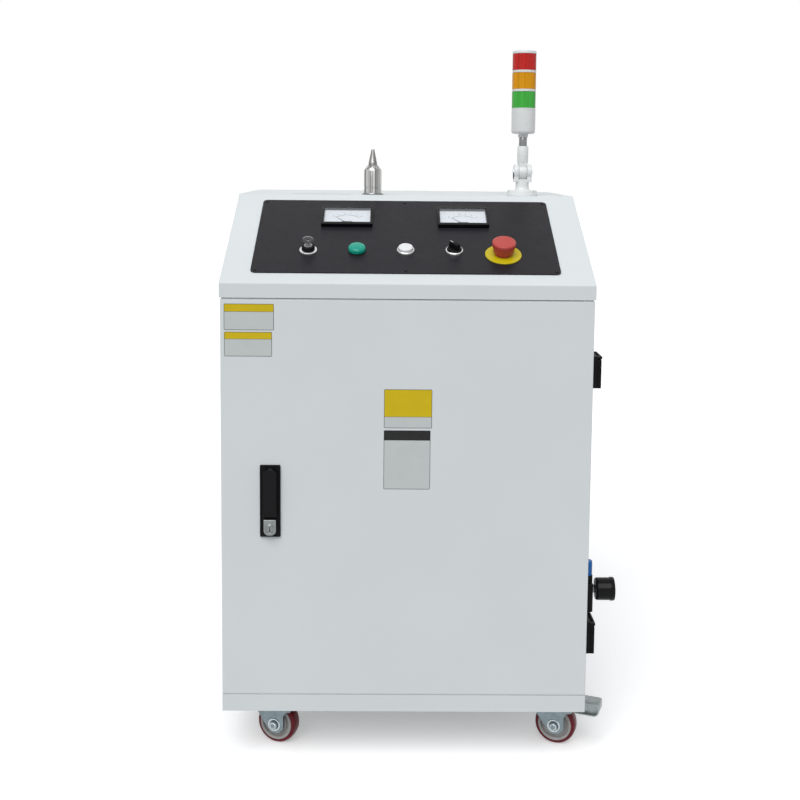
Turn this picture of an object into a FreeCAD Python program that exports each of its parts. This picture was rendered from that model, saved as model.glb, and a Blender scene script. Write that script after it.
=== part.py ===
import FreeCAD, Part
import os
import re
import Sketcher
from FreeCAD import Placement, Rotation, Vector

# Plasma treatment machine: a white sheet-metal cabinet on four castors, with a sloping
# control desk, a hinged front door, a signal tower and a plasma torch in its holder.
# Millimetres, Z up. X runs to the right of a person at the desk, Y runs to the rear.
# Cabinet coordinates have x = 0 in the middle, y = 0 at the door's face, z = 0 on the floor.

SIZES = {
    # Cabinet outline
    "body_width": 597, "lip_overlap": 1.5, "cabinet_depth": 598.5,
    "castor_height": 88, "base_height": 28, "seam": 1.5, "door_height": 652, "door_gap": 3,
    "lip_height": 24, "lip_proud": 1.5, "slope_run": 261, "slope_rise": 133.5,
    # Sheet metal
    "sheet": 1.5, "desk_sheet": 2, "tray_sheet": 2, "flange": 18, "desk_round": 3,
    # Door, its seal and its pivots
    "door_depth": 18, "seal_depth": 4.3, "seal_width": 9, "seal_inset": 9, "seal_room": 4.5,
    "pivot_inset": 9, "pivot_radius": 3, "pivot_reach": 9, "pivot_lug": 3, "pivot_block": 16,
    "running_fit": 0.05, "frame_border": 38,
    # Door lock
    "lock_side": 219, "lock_rise": 266.5, "lock_width": 33, "lock_height": 118, "lock_proud": 4,
    "lever_width": 22, "lever_length": 79, "lever_thick": 7.4, "lever_gap": 0.5, "lever_top_gap": 6,
    "knuckle_width": 8, "spindle_radius": 5, "cam_width": 16, "cam_sheet": 3, "cam_gap": 1,
    "cylinder_radius": 8.5, "cylinder_height": 30, "cylinder_width": 20, "cylinder_rise": 15,
    "lock_corner": 5, "lever_round": 2.2, "lever_hollow": 2.5,
    # Control plate on the slope
    "plate_width": 501, "plate_height": 239, "plate_foot": 29, "plate_sheet": 2,
    "plate_corner": 8, "plate_shift": -3, "screw_radius": 2.6, "screw_head": 1.2, "screw_inset": 7,
    # Panel meters
    "meter_pitch": 200, "meter_line": 205, "bezel_width": 88, "bezel_height": 62,
    "bezel_proud": 7, "window_width": 80, "window_height": 48, "window_thick": 1.5,
    "dial_drop": 4.5, "dial_thick": 1, "meter_barrel": 24, "meter_depth": 34,
    "needle_length": 27, "needle_width": 1, "needle_pivot": 2, "needle_foot": 2.8,
    # Round controls
    "control_line": 97, "control_pitch": 80.5, "rim_radius": 14.7, "barrel_radius": 11,
    "barrel_depth": 26, "block_size": 24, "block_depth": 30,
    "cap_radius": 12, "cap_gap": 0.5, "cap_height": 9, "button_travel": 3,
    "cup_floor": 1, "cup_rim": 4.5, "barrel_wall": 1.5, "key_rim_edge": 2, "key_rim_crown": 3,
    "lens_height": 10, "knob_height": 7, "handle_width": 8, "handle_height": 10,
    "key_rotor": 7, "key_barrel": 10, "key_height": 17, "key_width": 19, "key_thick": 2.4,
    # Emergency stop
    "stop_line": 87, "stop_plate_radius": 30, "stop_plate_sheet": 2, "collar_radius": 13,
    "collar_height": 4, "head_radius": 19.5, "head_foot": 16.2, "head_height": 14,
    "stop_travel": 5, "stem_radius": 7, "skirt_gap": 0.8, "skirt_rest": 0.3,
    # Signal tower
    "tower_inset": 86.5, "tower_back": 295, "foot_radius": 27.5, "foot_height": 10,
    "foot_neck": 12, "foot_screw": 3.5, "foot_screw_ring": 20.5, "foot_screw_depth": 5,
    "fold_height": 43, "fold_width": 32, "fold_gap": 0.5, "fold_radius": 14,
    "tongue_width": 14, "fold_pin": 3, "sleeve_radius": 10, "sleeve_top": 90,
    "pole_radius": 7.3, "pole_top": 108, "lamp_radius": 21.6, "lamp_base": 112,
    "lamp_house": 46.5, "lens_tall": 29.3, "ring_tall": 4.5, "lamp_cap": 6,
    "lamp_round": 4, "cap_round": 2.5,
    # Torch and its holder
    "torch_side": 61, "torch_back": 279, "torch_radius": 15.8, "holder_wall": 2,
    "holder_height": 3, "holder_flange": 20, "torch_above": 45, "torch_below": 62,
    "shoulder": 9, "nozzle_radius": 7.7, "nozzle_tip": 2.6, "nozzle_bore": 1.2,
    "nozzle_height": 27.5, "nozzle_land": 4, "nozzle_depth": 10,
    # Vent slots in the top, left of the torch
    "slot_length": 105, "slot_width": 4, "slot_pitch": 9, "slot_side": 155, "slot_count": 5,
    # Things on the right-hand side
    "socket_front": 60, "socket_deep": 55, "socket_tall": 54, "socket_proud": 24,
    "lid_thick": 6, "upper_socket_rise": 527.5, "lower_socket_rise": 70.5, "lid_pin": 2.2,
    "regulator_back": 90, "regulator_rise": 147.5, "regulator_width": 21,
    "regulator_deep": 36, "regulator_tall": 48, "bonnet_radius": 11.5, "bonnet_height": 12,
    "knob_radius": 10.5, "knob_tall": 25, "gauge_radius": 20, "gauge_deep": 31.5,
    "gauge_stem": 6, "gauge_neck": 3.5, "gauge_wall": 2, "port_radius": 5.8, "port_depth": 12,
    # Castors
    "castor_inset": 60.5, "castor_front": 85, "castor_turn": 21, "castor_plate": 64,
    "castor_sheet": 3, "race_radius": 22, "race_height": 5, "race_gap": 0.4,
    "crown_height": 5, "kingpin": 5, "fork_width": 38, "fork_sheet": 3, "fork_back": 26,
    "fork_front": 58, "trail": 27, "wheel_radius": 35, "wheel_width": 26, "hub_radius": 28.5,
    "leg_round": 14, "leg_front": 17, "leg_back": 33, "axle_radius": 4, "nut_radius": 7, "nut_height": 6,
    "pedal_reach": 110, "pedal_width": 30, "pedal_sheet": 2.5, "pedal_rise": 17.4, "pedal_pin": 1.5,
    # Rear panel, fan and what the cabinet holds
    "louvre_width": 150, "louvre_rise": 12, "louvre_proud": 6, "louvre_pitch": 26,
    "louvre_count": 8, "louvre_start": 78, "fan_size": 120, "fan_deep": 38, "fan_drop": 128.5,
    "fan_corner": 5, "fan_bore": 57, "fan_hub": 20, "fan_spoke": 4, "guard_wire": 2.5,
    "guard_gap": 0.8, "guard_reach": 72, "blade_chord": 24, "blade_start": 4, "blade_rise": 7,
    "blade_thick": 1.8, "blade_gap": 2,
    "plate_room": 128.5, "plate_gap": 0.5, "plate_head": 68.5, "inner_plate": 2, "plate_flange": 25,
    "unit_side": 110, "core_width": 150, "core_deep": 90, "core_tall": 130, "core_gap": 10,
    "coil_bulge": 22, "coil_round": 10,
    "unit_width": 210, "unit_deep": 85, "unit_tall": 260, "unit_lift": 278, "fin_count": 9,
    "fin_deep": 18, "valve_side": 130, "valve_width": 40, "valve_block": 30, "valve_coil": 16,
    "valve_tall": 75, "valve_lift": 338, "valve_port": 7, "valve_port_rise": 12,
}

# Places worked out from the sizes, kept in one object of the document
LEVELS = {
    "base_top": "castor_height + base_height",
    "door_foot": "base_top + seam",
    "door_top": "door_foot + door_height",
    "lip_foot": "door_top + door_gap",
    "lip_top": "lip_foot + lip_height",
    "roof": "lip_top + slope_rise",
    "roof_front": "slope_run - lip_proud",
    "frame_front": "door_depth + seal_room",
    "half_body": "body_width / 2",
    "lip_width": "body_width + 2 * lip_overlap",
    "lock_foot": "door_foot + lock_rise",
    "upper_socket": "door_foot + upper_socket_rise",
    "lower_socket": "door_foot + lower_socket_rise",
    "regulator_level": "door_foot + regulator_rise",
    "louvre_foot": "base_top + louvre_start",
    "fan_level": "lip_foot - fan_drop",
    "plate_back": "cabinet_depth - plate_room",
    "inner_plate_top": "lip_foot - plate_head",
    "unit_level": "base_top + unit_lift",
    "valve_level": "base_top + valve_lift",
    "gauge_face": "half_body + 1.5 + regulator_width + gauge_stem + gauge_deep",
    "lock_face": "lock_proud + lever_thick + 1",
    "mid_x": "(lip_width / 2 - gauge_face) / 2",
    "mid_y": "(lock_face - cabinet_depth - louvre_proud) / 2",
    "pivot_x": "half_body - pivot_inset",
    "castor_side": "half_body - castor_inset",
    "tower_side": "half_body - tower_inset",
    "fork_top": "castor_height - castor_sheet - race_height - race_gap",
    "fork_roof": "fork_top - crown_height",
    "axle_level": "wheel_radius",
    "pedal_axle": "fork_front - 4.5",
    "pedal_level": "fork_roof - 5.4",
    "spindle_level": "lock_foot + lock_height - lever_top_gap - lever_thick / 2",
    "slot_front": "roof_front + 16",
    "fold_level": "roof + fold_height",
}

doc = FreeCAD.newDocument("plasma_machine")
sheet = doc.addObject("Spreadsheet::Sheet", "Sizes")
levels = doc.addObject("App::VarSet", "Levels")
sub_parts = []


def formula(text):
    """Write a size's own name as the document knows it: Sizes.name or Levels.name."""

    def owner(found):
        word = found.group(0)
        if word in SIZES:
            return "Sizes." + word
        return "Levels." + word if word in LEVELS else word

    return re.sub(r"[a-z]\w*", owner, str(text))


def value(text):
    return float(sheet.evalExpression(formula(text)))


def fill_sheet():
    for row, (name, number) in enumerate(SIZES.items(), start=1):
        sheet.set(f"A{row}", name)
        sheet.set(f"B{row}", str(number))
        sheet.setAlias(f"B{row}", name)
    doc.recompute()
    for name, text in LEVELS.items():
        levels.addProperty("App::PropertyFloat", name)
        levels.setExpression(name, formula(text))
        doc.recompute()
    levels.addProperty("App::PropertyAngle", "slope_angle")
    levels.setExpression("slope_angle", formula("atan2(slope_rise; slope_run)"))
    doc.recompute()


# Outlines, drawn in a sketch whose places are tied to the sizes

def tie(sketch, kind, geometry, point, text):
    number = sketch.addConstraint(Sketcher.Constraint(kind, -1, 1, geometry, point, value(text)))
    sketch.setExpression(f"Constraints[{number}]", formula(text))


def polygon(points):
    """A closed outline through the given places, each a pair of formulas."""

    def draw(sketch):
        first = sketch.GeometryCount
        corners = [Vector(value(x), value(y), 0) for x, y in points]
        for start, end in zip(corners, corners[1:] + corners[:1]):
            sketch.addGeometry(Part.LineSegment(start, end))
        for side in range(len(points)):
            after = first + (side + 1) % len(points)
            sketch.addConstraint(Sketcher.Constraint("Coincident", first + side, 2, after, 1))
            tie(sketch, "DistanceX", first + side, 1, points[side][0])
            tie(sketch, "DistanceY", first + side, 1, points[side][1])

    return draw


def rectangle(low_x, high_x, low_y, high_y):
    return polygon([(low_x, low_y), (high_x, low_y), (high_x, high_y), (low_x, high_y)])


def circle(x, y, radius):
    def draw(sketch):
        centre = Vector(value(x), value(y), 0)
        ring = sketch.addGeometry(Part.Circle(centre, Vector(0, 0, 1), value(radius)))
        tie(sketch, "DistanceX", ring, 3, x)
        tie(sketch, "DistanceY", ring, 3, y)
        number = sketch.addConstraint(Sketcher.Constraint("Radius", ring, value(radius)))
        sketch.setExpression(f"Constraints[{number}]", formula(radius))

    return draw


def outlines(*drawings):
    def draw(sketch):
        for drawing in drawings:
            drawing(sketch)

    return draw


# Bodies and the features that shape them

def new_body(label, kept=True):
    body = doc.addObject("PartDesign::Body", label)
    body.Label = label
    body.AllowCompound = True
    if kept:
        sub_parts.append(body)
    return body


def origin_feature(body, role):
    return next(item for item in body.Origin.OriginFeatures if item.Role == role)


def new_sketch(body, role, level, draw):
    sketch = body.newObject("Sketcher::SketchObject", body.Name + "_sketch")
    sketch.AttachmentSupport = [(origin_feature(body, role), "")]
    sketch.MapMode = "FlatFace"
    sketch.setExpression("AttachmentOffset.Base.z", formula(level))
    draw(sketch)
    return sketch


def extrude(body, axis, start, end, draw, cut=False):
    """Pad or pocket along +X, +Y or +Z, from start to end, in the body's own frame."""
    role = {"x": "YZ_Plane", "y": "XZ_Plane", "z": "XY_Plane"}[axis]
    level = f"-({start})" if axis == "y" else start
    sketch = new_sketch(body, role, level, draw)
    feature = body.newObject("PartDesign::Pocket" if cut else "PartDesign::Pad", body.Name + "_form")
    feature.Profile = sketch
    feature.setExpression("Length", formula(f"({end}) - ({start})"))
    feature.Reversed = (axis != "y") if cut else (axis == "y")
    if cut:
        check_cut(body, feature)
    return feature


def check_cut(body, feature):
    """A pocket that removes nothing points the wrong way, which is an error here."""
    doc.recompute()
    before = feature.BaseFeature.Shape.Volume
    if not before - feature.Shape.Volume > 1e-3:
        raise RuntimeError(f"{body.Label}: {feature.Name} cuts nothing")


def revolve(body, axis, points, cut=False):
    """Turn a profile about the body's own X, Y or Z axis. Points are (radius, along)."""
    role, line = {"z": ("XZ_Plane", "V_Axis"), "y": ("XY_Plane", "V_Axis"), "x": ("XY_Plane", "H_Axis")}[axis]
    turned = [(along, radius) for radius, along in points] if axis == "x" else points
    sketch = new_sketch(body, role, "0", polygon(turned))
    feature = body.newObject("PartDesign::Groove" if cut else "PartDesign::Revolution", body.Name + "_turn")
    feature.Profile = sketch
    feature.ReferenceAxis = (sketch, [line])
    feature.Angle = 360
    if cut:
        check_cut(body, feature)
    return feature


def repeat_round(body, feature, role, count):
    pattern = body.newObject("PartDesign::PolarPattern", body.Name + "_ring")
    pattern.Originals = [feature]
    pattern.Axis = (origin_feature(body, role), [""])
    pattern.Angle = 360
    pattern.Occurrences = count
    body.Tip = pattern
    return pattern


def repeat_line(body, features, role, count, pitch, reverse=False):
    pattern = body.newObject("PartDesign::LinearPattern", body.Name + "_row")
    pattern.Originals = features
    pattern.Direction = (origin_feature(body, role), [""])
    pattern.Reversed = reverse
    pattern.setExpression("Length", formula(f"({pitch}) * (({count}) - 1)"))
    pattern.setExpression("Occurrences", formula(count))
    body.Tip = pattern
    return pattern


def dress(body, kind, size, pick):
    """Round or chamfer the edges of the body so far that pick accepts."""
    doc.recompute()
    base = body.Tip
    names = [f"Edge{n}" for n, edge in enumerate(base.Shape.Edges, start=1) if pick(edge)]
    if not names:
        raise RuntimeError(f"{body.Label}: no edge to dress")
    feature = body.newObject("PartDesign::" + kind, body.Name + "_edges")
    feature.Base = (base, names)
    feature.setExpression("Radius" if kind == "Fillet" else "Size", formula(size))
    return feature


def runs_along(axis, shortest=0.0):
    """Pick straight edges along one axis, longer than a given length."""

    def pick(edge):
        if edge.Curve.TypeId != "Part::GeomLine" or edge.Length <= shortest:
            return False
        return abs(edge.tangentAt(edge.FirstParameter).dot(axis)) > 0.999

    return pick


# Seats: where a body stands

def seat(thing, x="0", y="0", z="0", turn=None):
    """Stand a body in cabinet coordinates. turn is a vertical turn in degrees."""
    if turn is not None:
        thing.Placement = Placement(Vector(), Rotation(Vector(0, 0, 1), value(turn)))
        thing.setExpression(".Placement.Rotation.Angle", formula(turn))
    thing.setExpression(".Placement.Base.x", formula(f"mid_x + ({x})"))
    thing.setExpression(".Placement.Base.y", formula(f"mid_y + ({y})"))
    thing.setExpression(".Placement.Base.z", formula(z))


def seat_on_slope(thing, across="0", up="0", above="0"):
    """Stand a body on the desk's slope: its own Z is square to the slope, Y runs up it."""
    thing.Placement = Placement(Vector(), Rotation(Vector(1, 0, 0), 28))
    thing.setExpression(".Placement.Rotation.Angle", "Levels.slope_angle")
    lean = "cos(Levels.slope_angle)"
    rise = "sin(Levels.slope_angle)"
    up, above = formula(up), formula(above)
    thing.setExpression(".Placement.Base.x", formula(f"mid_x + ({across})"))
    thing.setExpression(".Placement.Base.y",
                        formula("mid_y - lip_proud") + f" + ({up}) * {lean} - ({above}) * {rise}")
    thing.setExpression(".Placement.Base.z",
                        formula("lip_top") + f" + ({up}) * {rise} + ({above}) * {lean}")


def group(label, pieces):
    """Like pieces that share one node, each still a solid of its own."""
    compound = doc.addObject("Part::Compound", label)
    compound.Label = label
    compound.Links = pieces
    sub_parts.append(compound)
    return compound


# Cabinet shell

def base_tray():
    body = new_body("base_tray")
    seat(body)
    extrude(body, "z", "castor_height", "base_top",
            rectangle("-half_body", "half_body", "0", "cabinet_depth"))
    extrude(body, "z", "castor_height + tray_sheet", "base_top",
            rectangle("-half_body + tray_sheet", "half_body - tray_sheet",
                      "tray_sheet", "cabinet_depth - tray_sheet"), cut=True)


def side_panel(label, sign):
    """A pan of sheet with its flanges turned inwards, standing on the tray's rim."""
    body = new_body(label)
    seat(body)
    outer, inner = "half_body", "half_body - flange"
    low, high = (inner, outer) if sign > 0 else (f"-({outer})", f"-({inner})")
    extrude(body, "x", low, high,
            rectangle("frame_front", "cabinet_depth - sheet", "base_top", "lip_foot"))
    wall_low = low if sign > 0 else f"({low}) + sheet"
    wall_high = f"({high}) - sheet" if sign > 0 else high
    extrude(body, "x", wall_low, wall_high,
            rectangle("frame_front + sheet", "cabinet_depth - 2 * sheet",
                      "base_top + sheet", "lip_foot - sheet"), cut=True)
    return body


def rear_panel():
    """A flat screwed-on sheet with rows of pressed louvres and the fan's round cut-out."""
    body = new_body("rear_panel")
    seat(body)
    extrude(body, "y", "cabinet_depth - sheet", "cabinet_depth",
            rectangle("-half_body", "half_body", "base_top", "lip_foot"))
    extrude(body, "y", "cabinet_depth - sheet", "cabinet_depth",
            circle("0", "fan_level", "fan_bore"), cut=True)
    slots, hoods = [], []
    for side in (-1, 1):
        low = f"{side} * half_body / 2 - louvre_width / 2"
        high = f"{side} * half_body / 2 + louvre_width / 2"
        slots.append(extrude(body, "y", "cabinet_depth - sheet", "cabinet_depth",
                             rectangle(low, high, "louvre_foot", "louvre_foot + louvre_rise / 2"), cut=True))
        hoods.append(extrude(body, "x", low, high, polygon([
            ("cabinet_depth", "louvre_foot + louvre_rise"),
            ("cabinet_depth + louvre_proud", "louvre_foot"),
            ("cabinet_depth + louvre_proud - sheet", "louvre_foot"),
            ("cabinet_depth - sheet / 2", "louvre_foot + louvre_rise - 2 * sheet"),
            ("cabinet_depth - sheet / 2", "louvre_foot + louvre_rise")])))
    repeat_line(body, slots + hoods, "Z_Axis", "louvre_count", "louvre_pitch")


def front_frame():
    """The ring behind the door, with a lug and a pivot pin at the hinge side's two corners."""
    body = new_body("front_frame")
    seat(body)
    edge = "half_body - sheet"
    extrude(body, "y", "frame_front + sheet", "frame_front + 2 * sheet",
            rectangle(f"-({edge}) + 0.2", f"({edge}) - 0.2", "base_top + sheet", "lip_foot - sheet"))
    extrude(body, "y", "frame_front + sheet", "frame_front + 2 * sheet",
            rectangle("-half_body + frame_border", "half_body - frame_border",
                      "base_top + frame_border", "lip_foot - frame_border"), cut=True)
    lug_low = "half_body - flange - pivot_block / 2"
    lug_high = "half_body - tray_sheet - 0.5"
    neck_high = "half_body - flange - 0.3"
    for foot, top in (("base_top - pivot_lug", "base_top"), ("lip_foot", "lip_foot + pivot_lug")):
        extrude(body, "z", foot, top,
                rectangle(lug_low, lug_high, "tray_sheet + 0.5", "frame_front + 2 * sheet"))
    extrude(body, "y", "frame_front + sheet", "frame_front + 2 * sheet", outlines(
        rectangle(lug_low, neck_high, "base_top - pivot_lug", "base_top + 2 * sheet"),
        rectangle(lug_low, neck_high, "lip_foot - 2 * sheet", "lip_foot + pivot_lug")))
    extrude(body, "z", "base_top - pivot_lug", "door_foot + pivot_reach",
            circle("pivot_x", "pivot_inset", "pivot_radius"))
    extrude(body, "z", "door_top - pivot_reach", "lip_foot + pivot_lug",
            circle("pivot_x", "pivot_inset", "pivot_radius"))


def console_housing():
    """The cabinet's cap: lip, sloping desk and flat top folded from one sheet."""
    body = new_body("console_housing")
    seat(body)
    back = "cabinet_depth"
    extrude(body, "x", "-lip_width / 2", "lip_width / 2", polygon([
        ("-lip_proud", "lip_foot"), ("-lip_proud", "lip_top"), ("roof_front", "roof"),
        (back, "roof"), (back, "lip_foot")]))
    dress(body, "Fillet", "desk_round",
          lambda edge: runs_along(Vector(1, 0, 0))(edge) and edge.CenterOfMass.z > value("lip_foot + 1"))
    wall = "desk_sheet"
    drop = f"{wall} * sqrt(slope_run ^ 2 + slope_rise ^ 2) / slope_run"
    crest = f"({wall} * slope_run - {wall} * sqrt(slope_run ^ 2 + slope_rise ^ 2)) / slope_rise"
    extrude(body, "x", f"-lip_width / 2 + {wall}", f"lip_width / 2 - {wall}", polygon([
        (f"-lip_proud + {wall}", "lip_foot"),
        (f"-lip_proud + {wall}", f"lip_top - {drop} + {wall} * slope_rise / slope_run"),
        (f"roof_front - ({crest})", f"roof - {wall}"),
        (f"{back} - {wall}", f"roof - {wall}"), (f"{back} - {wall}", "lip_foot")]), cut=True)
    extrude(body, "z", f"roof - 2 * {wall}", "roof", outlines(
        circle("-torch_side", "torch_back", "torch_radius + holder_wall + running_fit"),
        circle("tower_side", "tower_back", "foot_neck - 3")), cut=True)
    slot = extrude(body, "z", f"roof - 2 * {wall}", "roof",
                   rectangle("-slot_side - slot_length / 2", "-slot_side + slot_length / 2",
                             "slot_front", "slot_front + slot_width"), cut=True)
    repeat_line(body, [slot], "Y_Axis", "slot_count", "slot_pitch")
    return body


def cut_slope(body):
    """Cut the holes of the meters and controls square through the slope."""
    cutter = new_body("slope_cutter", kept=False)
    seat_on_slope(cutter)
    extrude(cutter, "z", "-desk_sheet * 3", "desk_sheet", outlines(*[
        circle(f"plate_shift + {side} * meter_pitch / 2", "meter_line", "meter_barrel + 0.5")
        for side in (-1, 1)]))
    for place in range(-2, 3):
        line = "stop_line" if place == 2 else "control_line"
        extrude(cutter, "z", "-desk_sheet * 3", "desk_sheet",
                circle(f"plate_shift + {place} * control_pitch", line, "barrel_radius + 0.25"))
    cut = doc.addObject("Part::Cut", "console")
    cut.Base = body
    cut.Tool = cutter
    body.Label = "console_sheet"
    cut.Label = "console_housing"
    sub_parts[sub_parts.index(body)] = cut


# Controls on the slope

def control_plate():
    """The black plate that covers the slope, with a hole for everything that stands in it."""
    body = new_body("control_plate")
    seat_on_slope(body)
    extrude(body, "z", "0", "plate_sheet",
            rectangle("plate_shift - plate_width / 2", "plate_shift + plate_width / 2",
                      "plate_foot", "plate_foot + plate_height"))
    dress(body, "Fillet", "plate_corner", runs_along(Vector(0, 0, 1)))
    holes = [circle(f"plate_shift + {side} * meter_pitch / 2", "meter_line", "meter_barrel + 0.5")
             for side in (-1, 1)]
    for place in range(-2, 3):
        line = "stop_line" if place == 2 else "control_line"
        holes.append(circle(f"plate_shift + {place} * control_pitch", line, "barrel_radius + 0.25"))
    extrude(body, "z", "0", "plate_sheet", outlines(*holes), cut=True)


def panel_screws():
    """Screw heads: six on the control plate, ten on the rear panel."""
    screws = []
    for column in (-1, 0, 1):
        for row in (0, 1):
            screw = doc.addObject("Part::Cylinder", "plate_screw")
            screw.setExpression("Radius", formula("screw_radius"))
            screw.setExpression("Height", formula("screw_head"))
            seat_on_slope(screw, f"plate_shift + {column} * (plate_width / 2 - screw_inset)",
                          f"plate_foot + screw_inset + {row} * (plate_height - 2 * screw_inset)",
                          "plate_sheet")
            screws.append(screw)
    rows = new_body("rear_screws", kept=False)
    seat(rows)
    heads = []
    for side in (-1, 1):
        for step in range(5):
            level = f"base_top + flange / 2 + {step} * (lip_foot - base_top - flange) / 4"
            heads.append(circle(f"{side} * (half_body - flange / 2)", level, "2 * screw_radius"))
    extrude(rows, "y", "cabinet_depth", "cabinet_depth + 2 * screw_head", outlines(*heads))
    group("panel_screws", screws + [rows])


def meter(name, sign):
    """A moving-coil meter: case with its bezel, and its dial, window and needle."""
    across = f"plate_shift + {sign} * meter_pitch / 2"
    case = new_body(name + "_case", kept=False)
    seat_on_slope(case, across, "meter_line", "plate_sheet")
    extrude(case, "z", "0", "bezel_proud",
            rectangle("-bezel_width / 2", "bezel_width / 2", "-bezel_height / 2", "bezel_height / 2"))
    dress(case, "Fillet", "1.5", runs_along(Vector(0, 0, 1)))
    extrude(case, "z", "bezel_proud - window_thick - dial_drop", "bezel_proud",
            rectangle("-window_width / 2", "window_width / 2", "-window_height / 2", "window_height / 2"),
            cut=True)
    extrude(case, "z", "-meter_depth", "0", circle("0", "0", "meter_barrel"))
    dial = new_body(name + "_dial", kept=False)
    seat_on_slope(dial, across, "meter_line", "plate_sheet + bezel_proud - window_thick - dial_drop")
    extrude(dial, "z", "0", "dial_thick",
            rectangle("-window_width / 2", "window_width / 2", "-window_height / 2", "window_height / 2"))
    window = new_body(name + "_window", kept=False)
    seat_on_slope(window, across, "meter_line", "plate_sheet + bezel_proud - window_thick")
    extrude(window, "z", "0", "window_thick",
            rectangle("-window_width / 2", "window_width / 2", "-window_height / 2", "window_height / 2"))
    needle = new_body(name + "_needle")
    seat_on_slope(needle, across, "meter_line - window_height / 2 + needle_foot",
                  "plate_sheet + bezel_proud - window_thick - dial_drop + dial_thick + 0.3")
    extrude(needle, "z", "0", "1.2", circle("0", "0", "needle_pivot"))
    reach, half = "needle_length * 0.7071", "needle_width * 0.3536"
    extrude(needle, "z", "0.3", "0.9", polygon([
        (f"{half}", f"{half}"), (f"-{reach}", f"{reach}"), (f"-{half}", f"-{half}")]))
    return case, dial, window


def control_rims():
    """The fixed rims and barrels of the key switch, lamp, button and selector."""
    cup = [("cap_radius + cap_gap", "cup_rim"), ("rim_radius - 0.6", "cup_rim"),
           ("rim_radius", "cup_rim - 1"), ("rim_radius", "0")]
    profiles = {
        "key_rim": (-2, [("key_rotor + cap_gap", "key_barrel"), ("barrel_radius", "key_barrel"),
                         ("barrel_radius", "key_rim_crown"), ("rim_radius", "key_rim_edge"),
                         ("rim_radius", "0")]),
        "lamp_rim": (-1, [("barrel_radius - barrel_wall", "1.5"), ("rim_radius", "1.5"),
                          ("rim_radius", "0")]),
        "button_rim": (0, cup),
        "selector_rim": (1, cup),
    }
    rims = []
    for name, (place, crest) in profiles.items():
        rim = new_body(name, kept=False)
        seat_on_slope(rim, f"plate_shift + {place} * control_pitch", "control_line", "plate_sheet")
        inner = crest[0][0]
        floor = "-button_travel - 4"
        middle = [(inner, floor)]
        if crest is cup:
            bore = "barrel_radius - barrel_wall"
            middle = [(bore, floor), (bore, "cup_floor"), (inner, "cup_floor")]
        profile = [("0", "-barrel_depth"), ("0", floor)] + middle + crest
        profile += [("barrel_radius", "0"), ("barrel_radius", "-barrel_depth")]
        revolve(rim, "z", profile)
        rims.append(rim)
    group("control_rims", rims)


def contact_blocks():
    """The electrical blocks clipped on the five barrels under the desk."""
    blocks = []
    for place in range(-2, 3):
        line = "stop_line" if place == 2 else "control_line"
        block = new_body("contact_block", kept=False)
        seat_on_slope(block, f"plate_shift + {place} * control_pitch", line, "plate_sheet")
        half = "block_size / 2"
        extrude(block, "z", "-barrel_depth - block_depth", "-barrel_depth",
                rectangle(f"-{half}", half, f"-{half} * 1.4", f"{half} * 1.4"))
        blocks.append(block)
    group("contact_blocks", blocks)


def power_lamp_lens():
    body = new_body("power_lamp_lens")
    seat_on_slope(body, "plate_shift - control_pitch", "control_line", "plate_sheet")
    revolve(body, "z", [("0", "1.5"), ("rim_radius - 0.3", "1.5"), ("rim_radius - 0.6", "lens_height - 3"),
                        ("rim_radius - 3", "lens_height"), ("0", "lens_height + 0.8")])


def run_button_cap():
    body = new_body("run_button_cap")
    seat_on_slope(body, "plate_shift", "control_line", "plate_sheet")
    stem = "barrel_radius - barrel_wall - 0.3"
    under = "cup_floor + 0.3 + button_travel"
    revolve(body, "z", [("0", "-3"), (stem, "-3"), (stem, under), ("cap_radius", under),
                        ("cap_radius", "cap_height - 1.5"), ("cap_radius - 1.5", "cap_height"),
                        ("0", "cap_height + 0.5")])


def mode_selector_knob():
    body = new_body("mode_selector_knob")
    seat_on_slope(body, "plate_shift + control_pitch", "control_line", "plate_sheet")
    stem = "barrel_radius - barrel_wall - 0.3"
    under = "cup_floor + 0.3"
    revolve(body, "z", [("0", "-3"), (stem, "-3"), (stem, under), ("cap_radius", under),
                        ("cap_radius", "knob_height - 1"), ("cap_radius - 1", "knob_height"),
                        ("0", "knob_height")])
    along, half = "(cap_radius - 1) * 0.62", "handle_width * 0.3536"
    extrude(body, "z", "knob_height - 1", "knob_height + handle_height", polygon([
        (f"-{along} - {half}", f"{along} - {half}"), (f"{along} - {half}", f"-{along} - {half}"),
        (f"{along} + {half}", f"-{along} + {half}"), (f"-{along} + {half}", f"{along} + {half}")]))


def power_key():
    """The key switch's rotor with its key standing in it."""
    body = new_body("power_key")
    seat_on_slope(body, "plate_shift - 2 * control_pitch", "control_line", "plate_sheet")
    revolve(body, "z", [("0", "-2"), ("key_rotor", "-2"), ("key_rotor", "key_barrel + 0.6"),
                        ("0", "key_barrel + 0.6")])
    extrude(body, "y", "-key_thick / 2", "key_thick / 2",
            polygon([("-4", "key_barrel"), ("4", "key_barrel"), ("4", "key_barrel + 4"),
                     ("key_width / 2", "key_barrel + 7"), ("key_width / 2", "key_barrel + key_height - 3"),
                     ("key_width / 2 - 3", "key_barrel + key_height"),
                     ("3 - key_width / 2", "key_barrel + key_height"),
                     ("-key_width / 2", "key_barrel + key_height - 3"),
                     ("-key_width / 2", "key_barrel + 7"), ("-4", "key_barrel + 4")]))


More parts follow.
